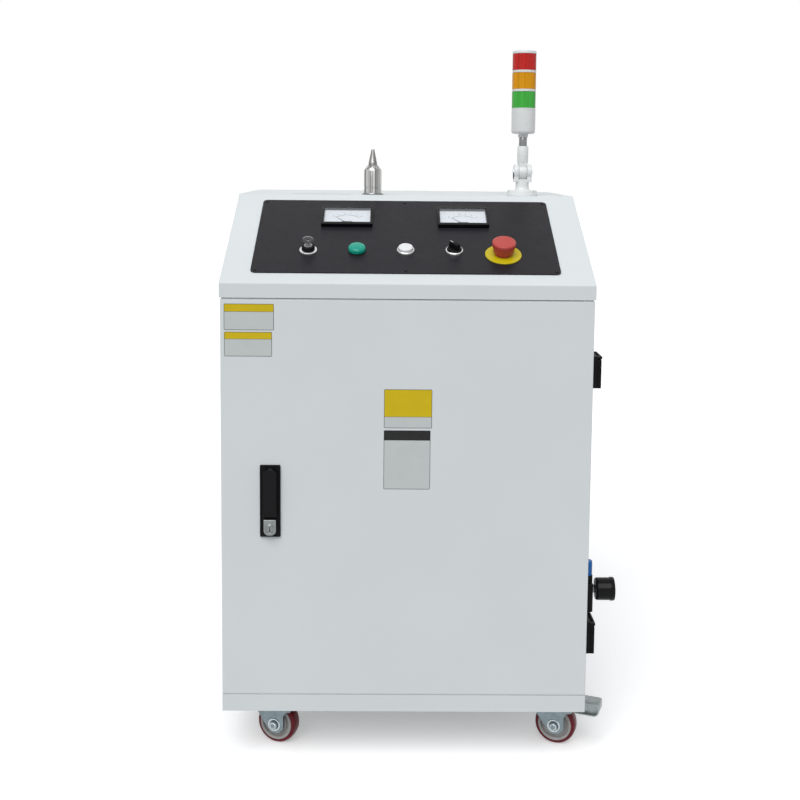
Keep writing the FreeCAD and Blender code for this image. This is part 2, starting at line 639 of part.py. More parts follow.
def emergency_stop():
    across, line = "plate_shift + 2 * control_pitch", "stop_line"
    plate = new_body("stop_plate")
    seat_on_slope(plate, across, line, "plate_sheet")
    extrude(plate, "z", "0", "stop_plate_sheet", circle("0", "0", "stop_plate_radius"))
    extrude(plate, "z", "0", "stop_plate_sheet", circle("0", "0", "barrel_radius + 0.25"), cut=True)
    collar = new_body("stop_collar")
    seat_on_slope(collar, across, line, "plate_sheet")
    foot, crest = "stop_plate_sheet", "stop_plate_sheet + collar_height"
    revolve(collar, "z", [
        ("0", "-barrel_depth"), ("0", "-stop_travel - 4"), ("stem_radius + cap_gap", "-stop_travel - 4"),
        ("stem_radius + cap_gap", crest), ("collar_radius - 2", crest), ("collar_radius", f"{crest} - 2"),
        ("collar_radius", foot), ("barrel_radius", foot), ("barrel_radius", "-barrel_depth")])
    stem = new_body("stop_stem")
    seat_on_slope(stem, across, line, "plate_sheet")
    under = f"({crest}) + stop_travel + 1"
    revolve(stem, "z", [("0", "-3"), ("stem_radius", "-3"), ("stem_radius", under), ("0", under)])
    head = new_body("stop_head")
    seat_on_slope(head, across, line, "plate_sheet")
    top = f"({under}) + head_height"
    inside = "collar_radius + skirt_gap"
    skirt = "stop_plate_sheet + stop_travel + skirt_rest"
    revolve(head, "z", [("0", under), (inside, under), (inside, skirt), ("head_foot", skirt),
                        ("head_foot + 0.4", f"{skirt} + head_height / 3"),
                        ("head_radius", f"{top} - head_height / 2"), ("head_radius", f"{top} - 2"),
                        ("head_radius - 2", top), ("0", top)])


# Signal tower

def tower():
    foot = new_body("tower_foot")
    seat(foot, "tower_side", "tower_back", "roof")
    shoulder_level = "fold_height - fold_radius - 2"
    revolve(foot, "z", [("0", "0"), ("foot_radius", "0"), ("foot_radius", "foot_height - 2"),
                        ("foot_radius - 2", "foot_height"), ("foot_neck + 2", "foot_height"),
                        ("foot_neck", shoulder_level), ("0", shoulder_level)])
    well = extrude(foot, "z", "foot_height - foot_screw_depth", "foot_height",
                   circle("foot_screw_ring", "0", "foot_screw"), cut=True)
    repeat_round(foot, well, "Z_Axis", 3)
    ear = "tongue_width / 2 + fold_gap"
    for low, high in ((ear, "fold_width / 2"), ("-fold_width / 2", f"-({ear})")):
        extrude(foot, "x", low, high, circle("0", "fold_height", "fold_radius"))
        extrude(foot, "x", low, high, rectangle("-foot_neck + 1", "foot_neck - 1",
                                                "fold_height - fold_radius - 4", "fold_height"))
    extrude(foot, "x", "-fold_width / 2 - 2", "fold_width / 2 + 2", circle("0", "fold_height", "fold_pin"))
    neck = new_body("tower_neck")
    seat(neck, "tower_side", "tower_back", "roof")
    extrude(neck, "x", "-tongue_width / 2", "tongue_width / 2",
            circle("0", "fold_height", "fold_radius - 1"))
    extrude(neck, "x", "-tongue_width / 2", "tongue_width / 2",
            rectangle("-sleeve_radius + 1", "sleeve_radius - 1",
                      "fold_height", "fold_height + fold_radius + 3"))
    collar_foot = "fold_height + fold_radius + 1"
    revolve(neck, "z", [("0", collar_foot), ("sleeve_radius - 1", collar_foot),
                        ("sleeve_radius", f"{collar_foot} + 4"), ("sleeve_radius", "sleeve_top - 1"),
                        ("sleeve_radius - 1", "sleeve_top"), ("pole_radius", "sleeve_top"),
                        ("pole_radius", "pole_top - 2"), ("pole_radius + 2", "pole_top"),
                        ("pole_radius + 2", "lamp_base"), ("0", "lamp_base")])
    extrude(neck, "x", "-tongue_width / 2", "tongue_width / 2",
            circle("0", "fold_height", "fold_pin + running_fit"), cut=True)
    house = new_body("tower_base_lamp", kept=False)
    seat(house, "tower_side", "tower_back", "roof")
    top = "lamp_base + lamp_house"
    revolve(house, "z", [("0", "lamp_base"), ("lamp_radius - lamp_round", "lamp_base"),
                         ("lamp_radius", "lamp_base + lamp_round"), ("lamp_radius", top), ("0", top)])
    pieces = [house]
    step = "(lens_tall + ring_tall)"
    for place, colour in enumerate(("green", "amber", "red")):
        lens = new_body("tower_lens_" + colour)
        seat(lens, "tower_side", "tower_back", "roof")
        low = f"{top} + {place} * {step}"
        revolve(lens, "z", [("0", low), ("lamp_radius", low), ("lamp_radius", f"{low} + lens_tall"),
                            ("0", f"{low} + lens_tall")])
        ring = new_body("tower_ring", kept=False)
        seat(ring, "tower_side", "tower_back", "roof")
        foot_level = f"{low} + lens_tall"
        crest = f"{foot_level} + " + ("ring_tall" if place < 2 else "lamp_cap")
        edge = "0.4" if place < 2 else "cap_round"
        revolve(ring, "z", [("0", foot_level), ("lamp_radius", foot_level),
                            ("lamp_radius", f"{crest} - {edge}"), (f"lamp_radius - {edge}", crest),
                            ("0", crest)])
        pieces.append(ring)
    group("tower_housing", pieces)


# Torch and holder

def torch():
    holder = new_body("torch_holder")
    seat(holder, "-torch_side", "torch_back", "roof")
    bore = "torch_radius + 0.3"
    wall = "torch_radius + holder_wall"
    revolve(holder, "z", [
        ("0", "-torch_below - 2 * holder_wall"), (wall, "-torch_below - 2 * holder_wall"), (wall, "0"),
        ("holder_flange", "0"), ("holder_flange", "holder_height / 2"), (wall, "holder_height / 2"),
        (f"{wall} - 0.5", "holder_height"), (bore, "holder_height"), (bore, "-torch_below"),
        ("0", "-torch_below")])
    body = new_body("torch_body")
    seat(body, "-torch_side", "torch_back", "roof")
    revolve(body, "z", [
        ("0", "-torch_below"), ("torch_radius - 2", "-torch_below"), ("torch_radius", "2 - torch_below"),
        ("torch_radius", "torch_above"), ("nozzle_radius + 0.6", "torch_above + shoulder"),
        ("0", "torch_above + shoulder")])
    nozzle = new_body("torch_nozzle")
    seat(nozzle, "-torch_side", "torch_back", "roof")
    low = "torch_above + shoulder"
    high = f"{low} + nozzle_height"
    revolve(nozzle, "z", [
        ("0", low), ("nozzle_radius", low), ("nozzle_radius", f"{low} + nozzle_land"), ("nozzle_tip", high),
        ("nozzle_bore", high), ("nozzle_bore", f"{high} - nozzle_depth"), ("0", f"{high} - nozzle_depth")])


# Door, seal and lock

def door():
    body = new_body("door_panel")
    seat(body)
    extrude(body, "y", "0", "door_depth", rectangle("-half_body", "half_body", "door_foot", "door_top"))
    dress(body, "Fillet", "1.2", lambda edge: edge.CenterOfMass.y < 0.01)
    extrude(body, "y", "sheet", "door_depth",
            rectangle("-half_body + sheet", "half_body - sheet", "door_foot + sheet", "door_top - sheet"),
            cut=True)
    extrude(body, "y", "door_depth - sheet", "door_depth", outlines(
        rectangle("-half_body + 0.5", "half_body - 0.5", "door_foot + 0.5", "door_top - 0.5"),
        rectangle("-half_body + flange", "half_body - flange", "door_foot + flange", "door_top - flange")))
    low, high = "pivot_x - pivot_block / 2", "half_body - sheet / 2"
    for foot, top in (("door_foot + sheet / 2", "door_foot + pivot_reach + 1"),
                      ("door_top - pivot_reach - 1", "door_top - sheet / 2")):
        extrude(body, "z", foot, top, rectangle(low, high, "sheet / 2", "door_depth - sheet / 2"))
    for foot, top in (("door_foot", "door_foot + pivot_reach + 0.5"),
                      ("door_top - pivot_reach - 0.5", "door_top")):
        extrude(body, "z", foot, top,
                circle("pivot_x", "pivot_inset", "pivot_radius + running_fit"), cut=True)
    extrude(body, "y", "0", "sheet", outlines(
        circle("-lock_side", "spindle_level", "spindle_radius + 0.5"),
        circle("-lock_side", "lock_foot + cylinder_rise", "cylinder_radius + 0.5")), cut=True)
    seal = new_body("door_seal")
    seat(seal)
    inner = "seal_inset + seal_width"
    right = "pivot_inset + seal_inset"
    extrude(seal, "y", "door_depth", "door_depth + seal_depth", outlines(
        rectangle("-half_body + seal_inset", f"half_body - ({right})",
                  "door_foot + seal_inset", "door_top - seal_inset"),
        rectangle(f"-half_body + {inner}", f"half_body - ({right}) - seal_width",
                  f"door_foot + {inner}", f"door_top - ({inner})")))


def door_lock():
    """A swing-handle lock: plate, spindle with its cam, lever hinged on it, key cylinder."""
    plate = new_body("lock_plate")
    seat(plate, "-lock_side", "0", "lock_foot")
    half = "lock_width / 2"
    spindle = "spindle_level - lock_foot"
    extrude(plate, "y", "-lock_proud", "0", rectangle(f"-{half}", half, "0", "lock_height"))
    dress(plate, "Fillet", "lock_corner", runs_along(Vector(0, 1, 0)))
    extrude(plate, "y", "-lock_proud - lever_thick", "-lock_proud",
            rectangle("-cylinder_width / 2", "cylinder_width / 2", "4", "cylinder_height"))
    extrude(plate, "y", "0", "sheet", circle("0", "cylinder_rise", "cylinder_radius"))
    extrude(plate, "y", "-lock_proud", "0",
            circle("0", spindle, "spindle_radius + running_fit"), cut=True)
    extrude(plate, "y", "-lock_proud - lever_thick", "0",
            circle("0", "cylinder_rise", "cylinder_radius - 2"), cut=True)
    rotor = new_body("lock_cylinder")
    seat(rotor, "-lock_side", "0", "lock_foot + cylinder_rise")
    revolve(rotor, "y", [("0", "0"), ("0", "-lock_proud - lever_thick - 1"),
                         ("cylinder_radius - 1", "-lock_proud - lever_thick - 1"),
                         ("cylinder_radius - 1", "-lock_proud - lever_thick - 0.1"),
                         ("cylinder_radius - 2 - running_fit", "-lock_proud - lever_thick - 0.1"),
                         ("cylinder_radius - 2 - running_fit", "0")])
    extrude(rotor, "y", "-lock_proud - lever_thick - 1", "-lock_proud - lever_thick + 1",
            rectangle("-0.7", "0.7", "-4", "4"), cut=True)
    cam = new_body("lock_cam")
    seat(cam, "-lock_side", "0", "spindle_level")
    cam_front = "frame_front + 2 * sheet + 1"
    knuckle = "lock_proud + lever_gap + lever_thick / 2"
    revolve(cam, "y", [("0", "-lock_proud - 0.2"), ("spindle_radius", "-lock_proud - 0.2"),
                       ("spindle_radius", f"{cam_front} + cam_sheet + 3"),
                       ("0", f"{cam_front} + cam_sheet + 3")])
    reach = "half_body - frame_border - lock_side - cam_gap"
    extrude(cam, "y", cam_front, f"{cam_front} + cam_sheet",
            rectangle(f"-({reach})", "cam_width / 2", "-cam_width / 2", "cam_width / 2"))
    extrude(cam, "y", f"-({knuckle})", "-lock_proud - 0.2",
            rectangle("-knuckle_width / 2 + 0.4", "knuckle_width / 2 - 0.4", "-2", "2"))
    extrude(cam, "x", "-lever_width / 2 + 2", "lever_width / 2 - 2", circle(f"-({knuckle})", "0", "1.5"))
    lever = new_body("lock_lever")
    seat(lever, "-lock_side", "0", "spindle_level")
    back, front = "-lock_proud - lever_gap", "-lock_proud - lever_gap - lever_thick"
    foot = "lever_thick / 2 - lever_length"
    extrude(lever, "y", front, back, rectangle("-lever_width / 2", "lever_width / 2", foot, "0"))
    extrude(lever, "x", "-lever_width / 2", "lever_width / 2",
            circle(f"-({knuckle})", "0", "lever_thick / 2"))
    dress(lever, "Fillet", "lever_round", lambda edge: runs_along(Vector(0, 0, 1))(edge)
          and edge.CenterOfMass.y < value(f"{front} + 1"))
    extrude(lever, "y", f"{front} - 1", f"{back} + 1",
            rectangle("-knuckle_width / 2", "knuckle_width / 2", "-7", "lever_thick"), cut=True)
    extrude(lever, "x", "-lever_width / 2 + 1.9", "lever_width / 2 - 1.9",
            circle(f"-({knuckle})", "0", "1.5 + running_fit"), cut=True)
    extrude(lever, "y", f"{front} + lever_hollow", back,
            rectangle("-lever_width / 2 + lever_hollow", "lever_width / 2 - lever_hollow",
                      f"{foot} + lever_hollow", "-11"), cut=True)


# Right-hand side

def side_sockets():
    """Two sockets with hinged lids: mains inlet above, torch lead below."""
    housings = []
    for name, level in (("upper", "upper_socket"), ("lower", "lower_socket")):
        housing = new_body(name + "_socket_housing", kept=False)
        seat(housing, "half_body", "socket_front", level)
        half = "socket_tall / 2"
        extrude(housing, "x", "0", "socket_proud - lid_thick",
                rectangle("0", "socket_deep", f"-{half}", half))
        dress(housing, "Fillet", "4", runs_along(Vector(1, 0, 0)))
        extrude(housing, "x", "5", "socket_proud - lid_thick",
                circle("socket_deep / 2", "0", "socket_tall / 2 - 8"), cut=True)
        ear = f"{half} - 4"
        for low in ("0", "socket_deep - 8"):
            extrude(housing, "x", "socket_proud - lid_thick - 3", "socket_proud + lid_pin / 2",
                    rectangle(low, f"{low} + 8", ear, half))
        extrude(housing, "y", "2", "socket_deep - 2", circle("socket_proud", f"{half} - 2.2", "lid_pin / 2"))
        housings.append(housing)
        lid = new_body(name + "_socket_lid")
        seat(lid, "half_body", "socket_front", level)
        extrude(lid, "x", "socket_proud - lid_thick + 0.3", "socket_proud",
                rectangle("0", "socket_deep", f"-{half}", f"{half} - 4.6"))
        extrude(lid, "y", "8.5", "socket_deep - 8.5", circle("socket_proud", f"{half} - 2.2", "lid_pin"))
        extrude(lid, "y", "8.5", "socket_deep - 8.5",
                rectangle("socket_proud - lid_pin", "socket_proud", f"{half} - 6", f"{half} - 2.2"))
        extrude(lid, "y", "8", "socket_deep - 8",
                circle("socket_proud", f"{half} - 2.2", "lid_pin / 2 + running_fit"), cut=True)
    group("socket_housings", housings)


def regulator():
    body = new_body("regulator_body")
    seat(body, "half_body", "regulator_back", "regulator_level")
    low = "-regulator_tall / 2 - 11"
    high = "regulator_tall / 2 - 11"
    deep = "regulator_deep / 2"
    extrude(body, "x", "1.5", "1.5 + regulator_width", rectangle(f"-{deep}", deep, low, high))
    dress(body, "Chamfer", "3", runs_along(Vector(0, 0, 1)))
    extrude(body, "x", "0", "1.5", rectangle(f"-{deep} - 6", f"{deep} + 6", f"{low} + 6", f"{high} - 6"))
    extrude(body, "z", high, f"{high} + bonnet_height",
            circle("1.5 + regulator_width / 2", "0", "bonnet_radius"))
    extrude(body, "z", f"{high} + bonnet_height", f"{high} + bonnet_height + 6",
            circle("1.5 + regulator_width / 2", "0", "bonnet_radius - 5"))
    extrude(body, "x", "1.5 + regulator_width", "1.5 + regulator_width + gauge_stem",
            circle("0", "0", "gauge_neck + 2"))
    extrude(body, "y", f"{deep} - port_depth", deep,
            circle("1.5 + regulator_width / 2", f"{low} + 14", "port_radius"), cut=True)
    knob = new_body("regulator_knob")
    seat(knob, "half_body + 1.5 + regulator_width / 2", "regulator_back", "regulator_level")
    foot = f"{high} + bonnet_height + 0.3"
    top = f"{foot} + knob_tall"
    revolve(knob, "z", [("bonnet_radius - 4.7", foot), ("knob_radius", foot), ("knob_radius", f"{top} - 1.5"),
                        ("knob_radius - 1.5", top), ("0", top), ("0", f"{foot} + 6.5"),
                        ("bonnet_radius - 4.7", f"{foot} + 6.5")])
    case = new_body("gauge_case")
    start = "half_body + 1.5 + regulator_width + gauge_stem"
    seat(case, start, "regulator_back", "regulator_level")
    revolve(case, "x", [
        ("0", "0"), ("gauge_radius - 3", "0"), ("gauge_radius - 1", "2"),
        ("gauge_radius - 1", "gauge_deep - 6"), ("gauge_radius", "gauge_deep - 6"),
        ("gauge_radius", "gauge_deep"),
        ("gauge_radius - gauge_wall", "gauge_deep"), ("gauge_radius - gauge_wall", "gauge_deep - 4"),
        ("0", "gauge_deep - 4")])
    needle = new_body("gauge_needle")
    seat(needle, start, "regulator_back", "regulator_level")
    extrude(needle, "x", "gauge_deep - 3.6", "gauge_deep - 2.4", circle("0", "0", "1.8"))
    reach = "(gauge_radius - gauge_wall - 4) * 0.7071"
    extrude(needle, "x", "gauge_deep - 3.3", "gauge_deep - 2.7", polygon([
        ("0.5", "-0.5"), (f"-{reach}", f"-{reach}"), ("-0.5", "0.5")]))


# Castors

def castor_plate(x, y):
    plate = new_body("castor_plate", kept=False)
    seat(plate, x, y, "0", "-castor_turn")
    half = "castor_plate / 2"
    top, foot = "castor_height", "castor_height - castor_sheet"
    extrude(plate, "z", foot, top, rectangle(f"-{half}", half, f"-{half}", half))
    dress(plate, "Fillet", "6", runs_along(Vector(0, 0, 1)))
    revolve(plate, "z", [("0", foot), ("race_radius + 3", foot), ("race_radius", f"{foot} - race_height"),
                         ("0", f"{foot} - race_height")])
    revolve(plate, "z", [("0", foot), ("kingpin", foot), ("kingpin", "fork_roof - fork_sheet - race_gap"),
                         ("kingpin + 3", "fork_roof - fork_sheet - race_gap"),
                         ("kingpin + 2", "fork_roof - fork_sheet - race_gap - 1.2"),
                         ("0", "fork_roof - fork_sheet - race_gap - 1.2")])
    return plate


def castor(name, x, y, braked):
    """Fork with its axle bolt, and the wheel with its tyre, under one plate."""
    fork = new_body(name + "_fork_frame", kept=False)
    seat(fork, x, y, "0", "-castor_turn")
    half = "fork_width / 2"
    roof_foot = "fork_roof - fork_sheet"
    extrude(fork, "y", f"-{half}", half, polygon([
        ("-fork_back", "fork_roof"), ("fork_front", "fork_roof"), ("fork_front", f"{roof_foot} - 10"),
        ("trail + leg_front + 5", f"{roof_foot} - 12"), ("trail + leg_front", f"{roof_foot} - 20"),
        ("trail + leg_front", "axle_level - leg_round / 3"),
        ("trail + leg_front / 2", "axle_level - leg_round"),
        ("trail - leg_round / 3", "axle_level - leg_round"),
        ("trail - leg_round", "axle_level - leg_round / 3"),
        ("trail - leg_back", f"{roof_foot} - 14"), ("-fork_back", f"{roof_foot} - 2")]))
    dress(fork, "Fillet", "leg_round / 4", lambda edge: runs_along(Vector(0, 1, 0))(edge)
          and edge.CenterOfMass.z < value(f"{roof_foot} - 6"))
    extrude(fork, "z", "0", roof_foot,
            rectangle("-fork_back - 1", "trail + wheel_radius + 5",
                      f"-{half} + fork_sheet", f"{half} - fork_sheet"), cut=True)
    revolve(fork, "z", [("0", "fork_roof"), ("race_radius + 4", "fork_roof"),
                        ("race_radius + 3", "fork_roof + 3"), ("race_radius", "fork_top"), ("0", "fork_top")])
    extrude(fork, "z", roof_foot, "fork_top", circle("0", "0", "kingpin + running_fit"), cut=True)
    extrude(fork, "y", f"-{half}", half, circle("trail", "axle_level", "axle_radius"), cut=True)
    if braked:
        extrude(fork, "y", f"-{half}", half,
                circle("pedal_axle", "pedal_level", "pedal_pin + running_fit"), cut=True)
    bolt = new_body(name + "_axle_bolt", kept=False)
    seat(bolt, x, y, "0", "-castor_turn")
    extrude(bolt, "y", f"-{half} - nut_height", f"{half} + nut_height",
            circle("trail", "axle_level", "axle_radius"))
    for low, high in ((f"-{half} - nut_height + 2", f"-{half}"), (half, f"{half} + nut_height - 2")):
        extrude(bolt, "y", low, high, circle("trail", "axle_level", "nut_radius"))
    group(name + "_fork", [fork, bolt])
    turn_x = f"({x}) + trail * cos(castor_turn)"
    turn_y = f"({y}) - trail * sin(castor_turn)"
    edge = "wheel_width / 2"
    tyre = new_body(name + "_tyre", kept=False)
    seat(tyre, turn_x, turn_y, "axle_level", "-castor_turn")
    revolve(tyre, "y", [
        ("hub_radius", f"-{edge} + 1"), ("wheel_radius - 3", f"-{edge} + 1"),
        ("wheel_radius - 0.8", f"-{edge} + 3"), ("wheel_radius", f"-{edge} + 7"),
        ("wheel_radius", f"{edge} - 7"), ("wheel_radius - 0.8", f"{edge} - 3"),
        ("wheel_radius - 3", f"{edge} - 1"), ("hub_radius", f"{edge} - 1")])
    hub = new_body(name + "_hub", kept=False)
    seat(hub, turn_x, turn_y, "axle_level", "-castor_turn")
    bore = "axle_radius + running_fit"
    revolve(hub, "y", [
        (bore, f"-{edge}"), ("nut_radius + 3", f"-{edge}"), ("nut_radius + 3", f"-{edge} + 4"),
        ("hub_radius - 4", f"-{edge} + 4"), ("hub_radius - 3", f"-{edge}"), ("hub_radius", f"-{edge}"),
        ("hub_radius", edge), ("hub_radius - 3", edge), ("hub_radius - 4", f"{edge} - 4"),
        ("nut_radius + 3", f"{edge} - 4"), ("nut_radius + 3", edge), (bore, edge)])
    group(name + "_wheel", [tyre, hub])


def brake_pedal(x, y):
    """The foot lever of the front right castor, on a pin between the fork's two flanges."""
    pedal = new_body("brake_pedal")
    seat(pedal, x, y, "0", "-castor_turn")
    high = "pedal_level + pedal_rise"
    half = "pedal_width / 2"
    extrude(pedal, "y", f"-{half}", half, polygon([
        ("pedal_axle - 2.5", "pedal_level - 2"), ("pedal_axle - 2.5", "pedal_level + 1.6"),
        ("fork_front + 2", "pedal_level + 1.8"), ("pedal_reach - 12", high),
        ("pedal_reach", f"{high} - 3"), ("pedal_reach - 2", f"{high} - 18"),
        ("pedal_reach - 18", f"{high} - 22"), ("trail + wheel_radius + 2", "pedal_level - 6"),
        ("fork_front", "pedal_level - 3")]))
    extrude(pedal, "y", f"-{half} + pedal_sheet", f"{half} - pedal_sheet", polygon([
        ("trail + wheel_radius + 2", "pedal_level + 1"), ("pedal_reach - 12", f"{high} - pedal_sheet"),
        ("pedal_reach - pedal_sheet", f"{high} - 3 - pedal_sheet"), ("pedal_reach + 3", f"{high} - 26"),
        ("trail + wheel_radius", "pedal_level - 26")]), cut=True)
    extrude(pedal, "y", "-fork_width / 2", "fork_width / 2",
            circle("pedal_axle", "pedal_level", "pedal_pin"))


def castors():
    plates = []
    for name, x, y in (("front_left", "-castor_side", "castor_front"),
                       ("front_right", "castor_side", "castor_front"),
                       ("rear_left", "-castor_side", "cabinet_depth - castor_front"),
                       ("rear_right", "castor_side", "cabinet_depth - castor_front")):
        plates.append(castor_plate(x, y))
        castor(name, x, y, braked=name == "front_right")
    group("castor_plates", plates)
    brake_pedal("castor_side", "castor_front")


# Rear fan and what the cabinet holds

def fan():
    frame = new_body("fan_frame", kept=False)
    seat(frame, "0", "cabinet_depth - sheet", "fan_level")
    half = "fan_size / 2"
    extrude(frame, "y", "-fan_deep", "0", rectangle(f"-{half}", half, f"-{half}", half))
    dress(frame, "Fillet", "fan_corner", runs_along(Vector(0, 1, 0)))
    extrude(frame, "y", "-fan_deep", "0", circle("0", "0", "fan_bore"), cut=True)
    hub_top = "-fan_deep + 1.5 * fan_spoke"
    extrude(frame, "y", "-fan_deep", hub_top, circle("0", "0", "fan_hub"))
    spoke = extrude(frame, "x", "fan_hub - fan_spoke / 2", "fan_bore + 1",
                    rectangle("-fan_deep", "-fan_deep + fan_spoke", "-fan_spoke / 2", "fan_spoke / 2"))
    repeat_round(frame, spoke, "Y_Axis", 4)
    guard = new_body("fan_guard", kept=False)
    seat(guard, "0", "cabinet_depth", "fan_level")
    for step in range(4):
        inner = f"fan_bore * {step + 1} / 4 - guard_wire"
        revolve(guard, "y", [(inner, "guard_gap"), (f"{inner} + guard_wire", "guard_gap"),
                             (f"{inner} + guard_wire", "guard_gap + guard_wire"),
                             (inner, "guard_gap + guard_wire")])
    bar = extrude(guard, "y", "0", "guard_gap + guard_wire / 4",
                  rectangle("-guard_reach", "guard_reach", "-guard_wire / 2", "guard_wire / 2"))
    repeat_round(guard, bar, "Y_Axis", 4)
    group("fan_housing", [frame, guard])
    rotor = new_body("fan_rotor")
    seat(rotor, "0", "cabinet_depth - sheet", "fan_level")
    rotor_foot = f"{hub_top} + 0.4"
    revolve(rotor, "y", [("0", rotor_foot), ("fan_hub", rotor_foot), ("fan_hub", "-fan_spoke - 2"),
                         ("fan_hub - 3", "-fan_spoke + 1"), ("0", "-fan_spoke + 1")])
    blade = extrude(rotor, "x", "fan_hub - 2", "fan_bore - blade_gap", polygon([
        ("-blade_start - blade_chord", "-blade_rise"), ("-blade_start", "blade_rise"),
        ("-blade_start - blade_thick / 2", "blade_rise + blade_thick"),
        ("-blade_start - blade_chord", "-blade_rise + blade_thick")]))
    repeat_round(rotor, blade, "Y_Axis", 7)


def mounting_plate():
    body = new_body("mounting_plate")
    seat(body)
    edge = "half_body - flange - plate_gap"
    foot = "castor_height + tray_sheet"
    extrude(body, "y", "plate_back", "plate_back + inner_plate",
            rectangle(f"-({edge})", edge, foot, "inner_plate_top"))
    extrude(body, "z", foot, f"{foot} + inner_plate",
            rectangle(f"-({edge})", edge, "plate_back", "plate_back + plate_flange"))


def transformer():
    """Laminated core with two windows, and the high-voltage coil round its middle leg."""
    body = new_body("high_voltage_transformer")
    seat(body, "-unit_side", "plate_back - core_deep / 2 - coil_bulge - core_gap",
         "castor_height + tray_sheet")
    half, deep = "core_width / 2", "core_deep / 2"
    extrude(body, "y", f"-{deep}", deep, rectangle(f"-{half}", half, "0", "core_tall"))
    extrude(body, "y", f"-{deep}", deep, outlines(
        rectangle("-core_width * 0.32", "-core_width * 0.14", "core_tall * 0.2", "core_tall * 0.8"),
        rectangle("core_width * 0.14", "core_width * 0.32", "core_tall * 0.2", "core_tall * 0.8")), cut=True)
    extrude(body, "z", "core_tall * 0.23", "core_tall * 0.77",
            rectangle("-core_width * 0.29", "core_width * 0.29",
                      f"-{deep} - coil_bulge", f"{deep} + coil_bulge"))
    dress(body, "Fillet", "coil_round", lambda edge: runs_along(Vector(0, 0, 1))(edge)
          and abs(edge.CenterOfMass.y) > value(f"{deep} + coil_bulge - 1"))


def power_unit():
    """The generator's case on the mounting plate, with cooling fins on its front."""
    body = new_body("power_unit")
    seat(body, "-unit_side", "plate_back", "unit_level")
    half = "unit_width / 2"
    extrude(body, "y", "-unit_deep", "0", rectangle(f"-{half}", half, "0", "unit_tall"))
    pitch = "unit_width / fin_count"
    groove = extrude(body, "y", "-unit_deep", "-unit_deep + fin_deep",
                     rectangle(f"-{half} + {pitch} * 0.3", f"-{half} + {pitch} * 0.8",
                               "0", "unit_tall"), cut=True)
    repeat_line(body, [groove], "X_Axis", "fin_count", pitch)


def air_valve():
    """Solenoid valve on the mounting plate, with the coil on top of its block."""
    body = new_body("air_valve")
    seat(body, "valve_side", "plate_back", "valve_level")
    half = "valve_width / 2"
    extrude(body, "y", "-valve_width", "0", rectangle(f"-{half}", half, "0", "valve_block"))
    extrude(body, "z", "valve_block", "valve_tall", circle("0", f"-{half}", "valve_coil"))
    extrude(body, "x", "-0.8 * valve_width", "0.8 * valve_width",
            circle(f"-{half}", "valve_port_rise", "valve_port"))


def write_parts():
    """Stop at any failed feature, then write every sub-part to its own file."""
    doc.recompute()
    for item in doc.Objects:
        if "Invalid" in item.State or "Error" in item.State:
            raise RuntimeError(f"{item.Label} ({item.Name}) failed: {item.State}")
    os.makedirs("parts", exist_ok=True)
    for part in sub_parts:
        shape = part.Shape
        if shape.isNull() or not shape.isValid() or not shape.Solids:
            raise RuntimeError(f"{part.Label} ({part.TypeId}) has no valid solid")
        shape.exportStep(f"parts/{part.Label}.step")
        box = shape.BoundBox
        print(f"{part.Label:26s} {len(shape.Solids):3d} solids {shape.Volume / 1000:10.2f} cm3  "
              f"x {box.XMin:7.1f} {box.XMax:7.1f}  y {box.YMin:7.1f} {box.YMax:7.1f}  "
              f"z {box.ZMin:7.1f} {box.ZMax:7.1f}")


fill_sheet()
base_tray()
side_panel("left_side_panel", -1)
side_panel("right_side_panel", 1)
rear_panel()
front_frame()
cut_slope(console_housing())
control_plate()
panel_screws()
meters = [meter("voltmeter", -1), meter("ammeter", 1)]
group("meter_cases", [piece for case, dial, window in meters for piece in (case, dial)])
group("meter_windows", [window for case, dial, window in meters])
control_rims()
contact_blocks()
power_lamp_lens()
run_button_cap()
mode_selector_knob()
power_key()
emergency_stop()
tower()
torch()
door()
door_lock()
side_sockets()
regulator()
castors()
fan()
mounting_plate()
transformer()
power_unit()
air_valve()
write_parts()
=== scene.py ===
# %% [markdown]
# # A plasma treatment machine
#
# The machine is a white sheet-metal cabinet on four castors. A black control plate lies on its
# sloping desk, a signal tower and a torch stand on its top, and a door with a swing-handle lock
# closes its front. The measured solids are loaded first. They fix every size, so this lesson
# only adds what makes them look real: turned knobs, printed dials, screws and finishes.

# %% Load the measured solids
import math
import bmesh
import bpy
from mathutils import Matrix, Vector


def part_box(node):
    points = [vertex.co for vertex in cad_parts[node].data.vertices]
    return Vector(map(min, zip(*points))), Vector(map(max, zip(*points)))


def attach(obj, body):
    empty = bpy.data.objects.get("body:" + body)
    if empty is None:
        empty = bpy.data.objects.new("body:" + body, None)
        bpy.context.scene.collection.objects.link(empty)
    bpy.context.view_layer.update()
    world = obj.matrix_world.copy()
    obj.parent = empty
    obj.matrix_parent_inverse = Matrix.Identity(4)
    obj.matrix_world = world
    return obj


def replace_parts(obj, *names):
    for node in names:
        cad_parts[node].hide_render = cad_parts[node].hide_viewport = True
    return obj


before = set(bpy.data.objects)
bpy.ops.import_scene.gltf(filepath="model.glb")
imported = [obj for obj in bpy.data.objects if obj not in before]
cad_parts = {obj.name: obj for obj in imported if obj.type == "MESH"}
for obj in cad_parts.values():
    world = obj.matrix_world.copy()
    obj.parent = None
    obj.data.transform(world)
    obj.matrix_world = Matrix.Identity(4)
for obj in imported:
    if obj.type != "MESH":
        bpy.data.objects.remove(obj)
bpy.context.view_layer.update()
MM = 0.001

# %% [markdown]
# The solids share one set of axes. Most places on the machine are easier to give from the
# cabinet itself: across from its middle, back from the door's face and up from the floor. A
# function carries such a place into the solids' axes. The desk slopes, so it gets a frame of its
# own, whose Y runs up the slope and whose Z stands square on the control plate.

